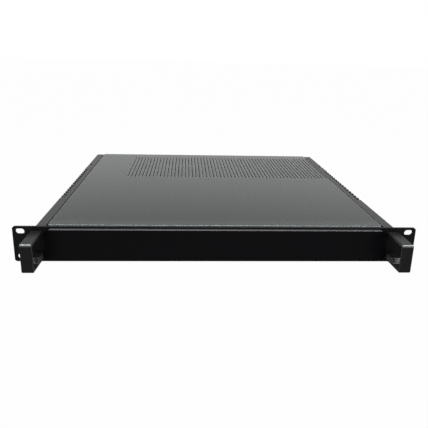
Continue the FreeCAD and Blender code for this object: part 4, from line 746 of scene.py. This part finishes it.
def makePlug(nodeName, kind):
    # The nose is a rounded outline with slanting ends, drawn out, turned in at its lip and back to its floor.
    shape, name = plugShape, kind["piece"]
    low, high = boxOf(nodeName)
    x, z = (low[0] + high[0]) / 2.0, (low[2] + high[2]) / 2.0
    end, face = high[1], high[1] - shape["noseLength"]
    upper, lower, half = shape["noseHalves"]
    corners = [(x - lower, z - half), (x + lower, z - half), (x + upper, z + half), (x - upper, z + half)]
    nose = roundedOutline(corners, *shape["noseCorner"])
    wall, lip, floor = shape["noseWall"], shape["noseLip"], face + kind["floor"]
    shellLoops = insetLoops(nose, [face - shape["noseRoot"], end - lip, end, end, end - lip, floor],
                            [0.0, 0.0, lip, wall - lip / 2.0, wall, wall], (0, 2, 1))
    side, back = shape["bodySide"], face - shape["flange"]
    body = softBlock((low[0] + side, low[2], low[1]), (high[0] - side, high[2] - shape["bodyTop"], back),
                     shape["bodyEdge"])
    plate = softBlock((low[0], low[2], back), (high[0], high[2], face), shape["flangeEdge"])
    post = hexPost(shape, face - shape["flangeEdge"], end - shape["postShort"])
    posts = standAt(post, [(x - shape["postReach"], 0.0, z), (x + shape["postReach"], 0.0, z)])
    whole = joinShells(loft(shellLoops[None]), loft(body[None][..., [0, 2, 1]]), loft(plate[None][..., [0, 2, 1]]),
                       loft(posts))
    shell = putPiece(name + "Shell", "plated_shell", whole)
    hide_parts(nodeName)

    edge, insertFace = shape["insertEdge"], floor + shape["insertDepth"]
    insert = insetLoops(nose, [face, insertFace - edge, insertFace], [wall, wall, wall + edge], (0, 2, 1))
    putPiece(name + "Insert", "black_plastic", loft(insert[None]), finish=kind["insert"])
    pin = turned(np.array(kind["profile"]) * mm, shape["pinAround"], (0, 2, 1))
    places = [(x + shift + step, insertFace, z + rise) for count, rise, shift in kind["rows"]
              for step in evenSteps(count, kind["pitch"])]
    putPiece(name + "Pins", kind["pinSlot"], loft(standAt(pin, places)), finish=kind["pinFinish"])


for nodeName, kind in plugKinds.items():
    makePlug(nodeName, kind)
print("rear plugs made")


# Network jacks: a dark lining in each mouth and its eight sprung contacts.

jackShape = {
    "fromSide": 8.1 * mm,       # from the node's two ends to the middles of the mouths
    # Outline of a mouth with its latch notch, in millimetres from its middle and from the node's underside.
    "mouth": ((-3.2, 1.6), (3.2, 1.6), (3.2, 4.0), (5.9, 4.0), (5.9, 11.2), (-5.9, 11.2), (-5.9, 4.0), (-3.2, 4.0)),
    "mouthCorner": (0.2 * mm, 3),
    "deep": 13.9 * mm,
    "wall": 0.35 * mm,
    "sunk": 0.05 * mm,          # how far the lining ends inside the face
    # Side outline of a contact, in millimetres from the face and from the node's underside.
    "contact": ((-13.35, 10.65), (-1.2, 10.65), (-1.2, 10.25), (-10.55, 6.35), (-10.85, 6.65), (-2.5, 10.3),
                (-13.35, 10.3)),
    "contacts": 8,
    "contactPitch": 1.02 * mm,
    "contactWidth": 0.4 * mm,
    "contactCorner": (0.05 * mm, 2),
}


def makeJacks():
    # Lining: the mouth's outline drawn in from the face and back out one wall inside. A contact runs forward under
    # the roof, folds over and slopes back down.
    shape = jackShape
    low, high = boxOf("rear_lan_ports")
    face, wall = high[1], shape["wall"]
    mouth = roundedOutline(np.array(shape["mouth"]) * mm, *shape["mouthCorner"])
    back, lip = face - shape["deep"], face - shape["sunk"]
    lining = insetLoops(mouth, [back, lip, lip, back + wall], [0.0, 0.0, wall, wall], (0, 2, 1))
    middles = [low[0] + shape["fromSide"], high[0] - shape["fromSide"]]
    putPiece("jackLinings", "black_plastic", loft(standAt(lining, [(x, 0.0, low[2]) for x in middles])))
    side = roundedOutline(np.array(shape["contact"]) * mm, *shape["contactCorner"])
    half = shape["contactWidth"] / 2.0
    contact = insetLoops(side, [-half, half], [0.0, 0.0], (1, 2, 0))
    across = evenSteps(shape["contacts"], shape["contactPitch"])
    places = [(x + step, face, low[2]) for x in middles for step in across]
    putPiece("jackContacts", "plated_shell", loft(standAt(contact, places)), finish="goldPlate")


makeJacks()
print("network jacks lined")


# USB tongues with their four contact strips, inside the shells' mouths.

tongueShape = {
    "half": 5.65 * mm,
    "thick": 1.9 * mm,
    "length": 9.0 * mm,
    "edge": 0.2 * mm,
    "sunk": 0.5 * mm,           # from the mouth to the tongue's end
    "strips": (-3.5 * mm, -1.0 * mm, 1.0 * mm, 3.5 * mm),
    "stripHalf": 0.5 * mm,
    "stripThick": 0.1 * mm,
    "stripIn": 0.02 * mm,       # how far a strip is let into the tongue
    "stripStart": 0.8 * mm,
    "stripEnd": 8.1 * mm,
    "stripEdge": (0.04 * mm, 2),
    "rearRises": (3.75 * mm, 11.35 * mm),   # tongues' undersides over the node's
    "frontRises": (2.85 * mm, 15.35 * mm),
}


def makeTongues(name, nodeName, rises, inward):
    # inward is the direction from the mouth to the back: 1 towards the rear, -1 towards the front.
    shape = tongueShape
    low, high = boxOf(nodeName)
    x = (low[0] + high[0]) / 2.0
    face = (low if inward > 0 else high)[1] + inward * shape["sunk"]
    ends = sorted((face, face + inward * shape["length"]))
    block = softBlock((x - shape["half"], ends[0], 0.0), (x + shape["half"], ends[1], shape["thick"]), shape["edge"])
    places = [(0.0, 0.0, low[2] + rise) for rise in rises]
    putPiece(name + "Tongues", "black_plastic", loft(standAt(block, places)))
    ends = sorted((face + inward * shape["stripStart"], face + inward * shape["stripEnd"]))
    strip = softBlock((x - shape["stripHalf"], ends[0], -shape["stripThick"]),
                      (x + shape["stripHalf"], ends[1], shape["stripIn"]), *shape["stripEdge"])
    places = [(across, 0.0, place[2]) for place in places for across in shape["strips"]]
    putPiece(name + "Strips", "plated_shell", loft(standAt(strip, places)), finish="goldPlate")


makeTongues("rearUsb", "rear_usb_ports", tongueShape["rearRises"], -1.0)
makeTongues("frontUsb", "front_usb_ports", tongueShape["frontRises"], 1.0)
print("usb tongues made")


# Parts soldered to the board: cans, chokes and chips, wherever the larger parts leave room for them.

boardParts = {
    # Radius and height in millimetres: foot, side with its groove, rolled rim and sunken lid.
    "canProfile": ((0.1, 0.0), (3.7, 0.0), (3.9, 0.3), (3.9, 1.2), (3.55, 1.5), (3.55, 1.9), (3.9, 2.2),
                   (3.9, 8.1), (3.5, 8.5), (2.925, 8.5), (2.73, 8.2), (0.1, 8.2)),
    "canRadius": 3.9 * mm,
    "canAround": 24,
    "chokeHalf": 4.6 * mm,
    "chokeHeight": 6.5 * mm,
    "chokeEdge": (0.8 * mm, 4),
    "chipHalf": 6.5 * mm,
    "chipLow": 0.2 * mm,
    "chipHeight": 1.3 * mm,
    "chipEdge": (0.15 * mm, 3),
    "leads": 11,
    "leadPitch": 1.05 * mm,
    "lead": ((-0.3 * mm, -0.2 * mm, 0.02 * mm), (1.0 * mm, 0.2 * mm, 0.22 * mm)),    # corners, from the chip's side
    "leadEdge": (0.04 * mm, 2),
    "leadRoom": 1.5 * mm,
    "edge": 6.0 * mm,           # margin kept from the board's own edges
    "clear": 2.0 * mm,          # and from every other part that crosses this height over the board
    "height": 0.6 * mm,
    "widest": 150.0 * mm,       # wider nodes are the board and what lies round it, so they don't count
    # Grids of places: pitch, then from and to along X and along Y.
    "canAreas": ((0.011, -0.022, 0.070, 0.367, 0.372), (0.022, -0.085, 0.060, 0.420, 0.424)),
    "chokeAreas": ((0.0125, -0.036, -0.024, 0.292, 0.420),),
    "chipAreas": ((0.050, -0.080, -0.030, 0.350, 0.400), (0.060, 0.172, 0.200, 0.240, 0.425),
                  (0.064, -0.040, 0.100, 0.228, 0.262)),
}


def clearPlaces(areas, reach):
    # Places on the board, less those nearer than reach to another node's box or to a board screw.
    # The memory modules' slots count for them too.
    shape = boardParts
    low, high = boxOf("motherboard")
    grids = [np.meshgrid(np.arange(fromX, toX, pitch), np.arange(fromY, toY, pitch), indexing="ij")
             for pitch, fromX, toX, fromY, toY in areas]
    places = np.concatenate([np.stack(grid, axis=-1).reshape(-1, 2) for grid in grids])
    keep = ((places > low[:2] + shape["edge"]) & (places < high[:2] - shape["edge"])).all(axis=1)
    reach = reach + shape["clear"]
    height = high[2] + shape["height"]
    for name in nodes:
        nodeLow, nodeHigh = boxOf(name)
        crosses = nodeLow[2] <= height <= nodeHigh[2] and nodeHigh[0] - nodeLow[0] <= shape["widest"]
        if crosses and name != "memory_modules":
            keep &= ~((places > nodeLow[:2] - reach) & (places < nodeHigh[:2] + reach)).all(axis=1)
    screws = np.array([corner.co for corner in nodes["board_screws"].data.vertices])[:, :2]
    apart = np.linalg.norm(places[:, None] - screws[None], axis=-1).min(axis=1)
    return np.insert(places[keep & (apart > reach)], 2, high[2], axis=1)


def putOnBoard(name, slot, loops, places, finish=None):
    putPiece(name, slot, loft(standAt(loops, places)), finish=finish)
    print(name + ":", len(places))


def makeBoardParts():
    shape = boardParts
    can = turned(np.array(shape["canProfile"]) * mm, shape["canAround"])
    putOnBoard("boardCans", "drive_metal", can, clearPlaces(shape["canAreas"], shape["canRadius"]), "finMetal")
    half = shape["chokeHalf"]
    choke = softBlock((-half, -half, 0.0), (half, half, shape["chokeHeight"]), *shape["chokeEdge"])
    putOnBoard("boardChokes", "black_plastic", choke, clearPlaces(shape["chokeAreas"], half), "ferrite")
    half = shape["chipHalf"]
    chip = softBlock((-half, -half, shape["chipLow"]), (half, half, shape["chipHeight"]), *shape["chipEdge"])
    chipPlaces = clearPlaces(shape["chipAreas"], half + shape["leadRoom"])
    putOnBoard("boardChips", "black_plastic", chip, chipPlaces)
    # Leads: a block at the middle of one side, repeated along it, then turned to the other three sides.
    leadLow, leadHigh = np.array(shape["lead"]) + (half, 0.0, 0.0)
    along = evenSteps(shape["leads"], shape["leadPitch"])
    row = standAt(softBlock(leadLow, leadHigh, *shape["leadEdge"]), [(0.0, step, 0.0) for step in along])
    swapped = row[..., [1, 0, 2]]
    every = np.concatenate([row, swapped, row * (-1.0, 1.0, 1.0), swapped * (1.0, -1.0, 1.0)])
    leads = (chipPlaces[:, None, None, None, :] + every[None]).reshape(-1, *every.shape[1:])
    putPiece("boardLeads", "bright_steel", loft(leads))


makeBoardParts()
print("board parts made")


# Floor, light and camera.

studio = {
    "floorSize": 30.0,
    "floorColour": (0.25, 0.25, 0.25),
    "floorRoughness": 0.9,
    "floorGlow": 0.985,         # share of the floor that shows plain white to the camera
    "worldLevel": 0.25,
    "whiteLevel": 1.0,
    "sheenHigh": 1.15,          # how bright the surroundings are behind the object, low down, in reflections
    "sheenLow": 0.15,           # and overhead, in front and to the sides
    "sheenBehind": (0.2, 0.85),  # where they begin to count as behind, and where they fully do
    "sheenTop": 0.215,          # height of direction above which they darken, and the power they darken with
    "sheenFall": 3.6,
    "sheenTurn": 0.15,          # how much brighter they are to the right than to the left
}


def floorFinish():
    material, tree = newMaterial("studioFloor")
    shader = tree.nodes["Principled BSDF"]
    setInputs(tree, shader, {"Base Color": studio["floorColour"], "Roughness": studio["floorRoughness"]})
    white = addNode(tree, "Emission", {"Strength": studio["whiteLevel"]})
    rays = addNode(tree, "LightPath", {})
    share = mathStep(tree, "MULTIPLY", rays.outputs["Is Camera Ray"], studio["floorGlow"])
    mix = addNode(tree, "MixShader", {0: share, 1: shader.outputs[0], 2: white.outputs[0]})
    setInputs(tree, tree.nodes["Material Output"], {"Surface": mix.outputs[0]})
    return material


def makeFloor():
    half = studio["floorSize"] / 2
    low = cadBox[0][2]
    mesh = bpy.data.meshes.new("floor")
    mesh.from_pydata([(-half, -half, low), (half, -half, low), (half, half, low), (-half, half, low)], [],
                     [(0, 1, 2, 3)])
    mesh.materials.append(floorFinish())
    floor = addObject("floor", mesh)


def lightWorld():
    # The camera sees white. Reflections see a white sweep behind the object that darkens upwards and sideways.
    world = bpy.data.worlds.new("studio")
    bpy.context.scene.world = world
    world.use_nodes = True
    tree = world.node_tree
    rays = addNode(tree, "LightPath", {}).outputs
    coords = addNode(tree, "TexCoord", {}).outputs["Generated"]
    parts = addNode(tree, "SeparateXYZ", {0: coords}).outputs
    behind = spread(tree, parts["Y"], 0.0, 1.0, *studio["sheenBehind"])
    height = mathStep(tree, "MAXIMUM", mathStep(tree, "DIVIDE", parts["Z"], studio["sheenTop"]), 1.0)
    low = mathStep(tree, "POWER", height, -studio["sheenFall"])
    turn = mathStep(tree, "MULTIPLY", parts["X"], studio["sheenTurn"])
    sweep = mathStep(tree, "MULTIPLY", mathStep(tree, "MULTIPLY", behind, low), mathStep(tree, "ADD", turn, 1.0))
    sheen = spread(tree, sweep, studio["sheenLow"], studio["sheenHigh"], 0.0, 1.0)
    level = addNode(tree, "Mix", {"Factor": rays["Is Glossy Ray"], "A": studio["worldLevel"], "B": sheen})
    seen = mathStep(tree, "MAXIMUM", rays["Is Camera Ray"], rays["Is Transmission Ray"])
    shown = addNode(tree, "Mix", {"Factor": seen, "A": level.outputs["Result"], "B": studio["whiteLevel"]})
    setInputs(tree, tree.nodes["Background"], {"Color": (1.0, 1.0, 1.0), "Strength": shown.outputs["Result"]})


lamp = {"place": (0.05, 0.0, 1.35), "aim": (0.05, 0.05, 0.0), "size": (1.8, 0.12), "watts": 15.0}


def placeWith(thing, place, axes):
    thing.matrix_world = Matrix.Translation(place) @ Matrix(axes.tolist()).to_4x4()


def makeLamp():
    data = bpy.data.lights.new("overhead", "AREA")
    data.shape = "RECTANGLE"
    data.size, data.size_y = lamp["size"]
    data.energy = lamp["watts"]
    back = np.array(lamp["place"]) - np.array(lamp["aim"])
    back /= np.linalg.norm(back)
    across = np.cross((0.0, 1.0, 0.0), back)
    across /= np.linalg.norm(across)
    placeWith(addObject("overhead", data), lamp["place"], np.stack([across, np.cross(back, across), back], axis=1))


cameraView = {
    "place": (-0.03976, -0.56862, 0.21875),
    "tiltDown": 0.308,          # radians below the horizon
    "turnRight": 0.060,
    "roll": 0.024,
    "lens": 42.38,              # millimetres, as is the width of the frame
    "frameWidth": 36.0,
    "nearest": 0.01,
}


def makeCamera():
    tilt, turn, roll = cameraView["tiltDown"], cameraView["turnRight"], cameraView["roll"]
    ahead = np.array((math.sin(turn) * math.cos(tilt), math.cos(turn) * math.cos(tilt), -math.sin(tilt)))
    right = np.array((math.cos(turn), -math.sin(turn), 0.0))
    up = np.cross(right, ahead)
    side = right * math.cos(roll) + up * math.sin(roll)
    top = up * math.cos(roll) - right * math.sin(roll)
    data = bpy.data.cameras.new("camera")
    data.lens = cameraView["lens"]
    data.sensor_width = cameraView["frameWidth"]
    data.clip_start = cameraView["nearest"]
    thing = addObject("camera", data)
    placeWith(thing, cameraView["place"], np.stack([side, top, -ahead], axis=1))
    bpy.context.scene.camera = thing


makeFloor()
lightWorld()
makeLamp()
makeCamera()
bpy.context.scene.view_settings.view_transform = "Standard"
print("studio ready")
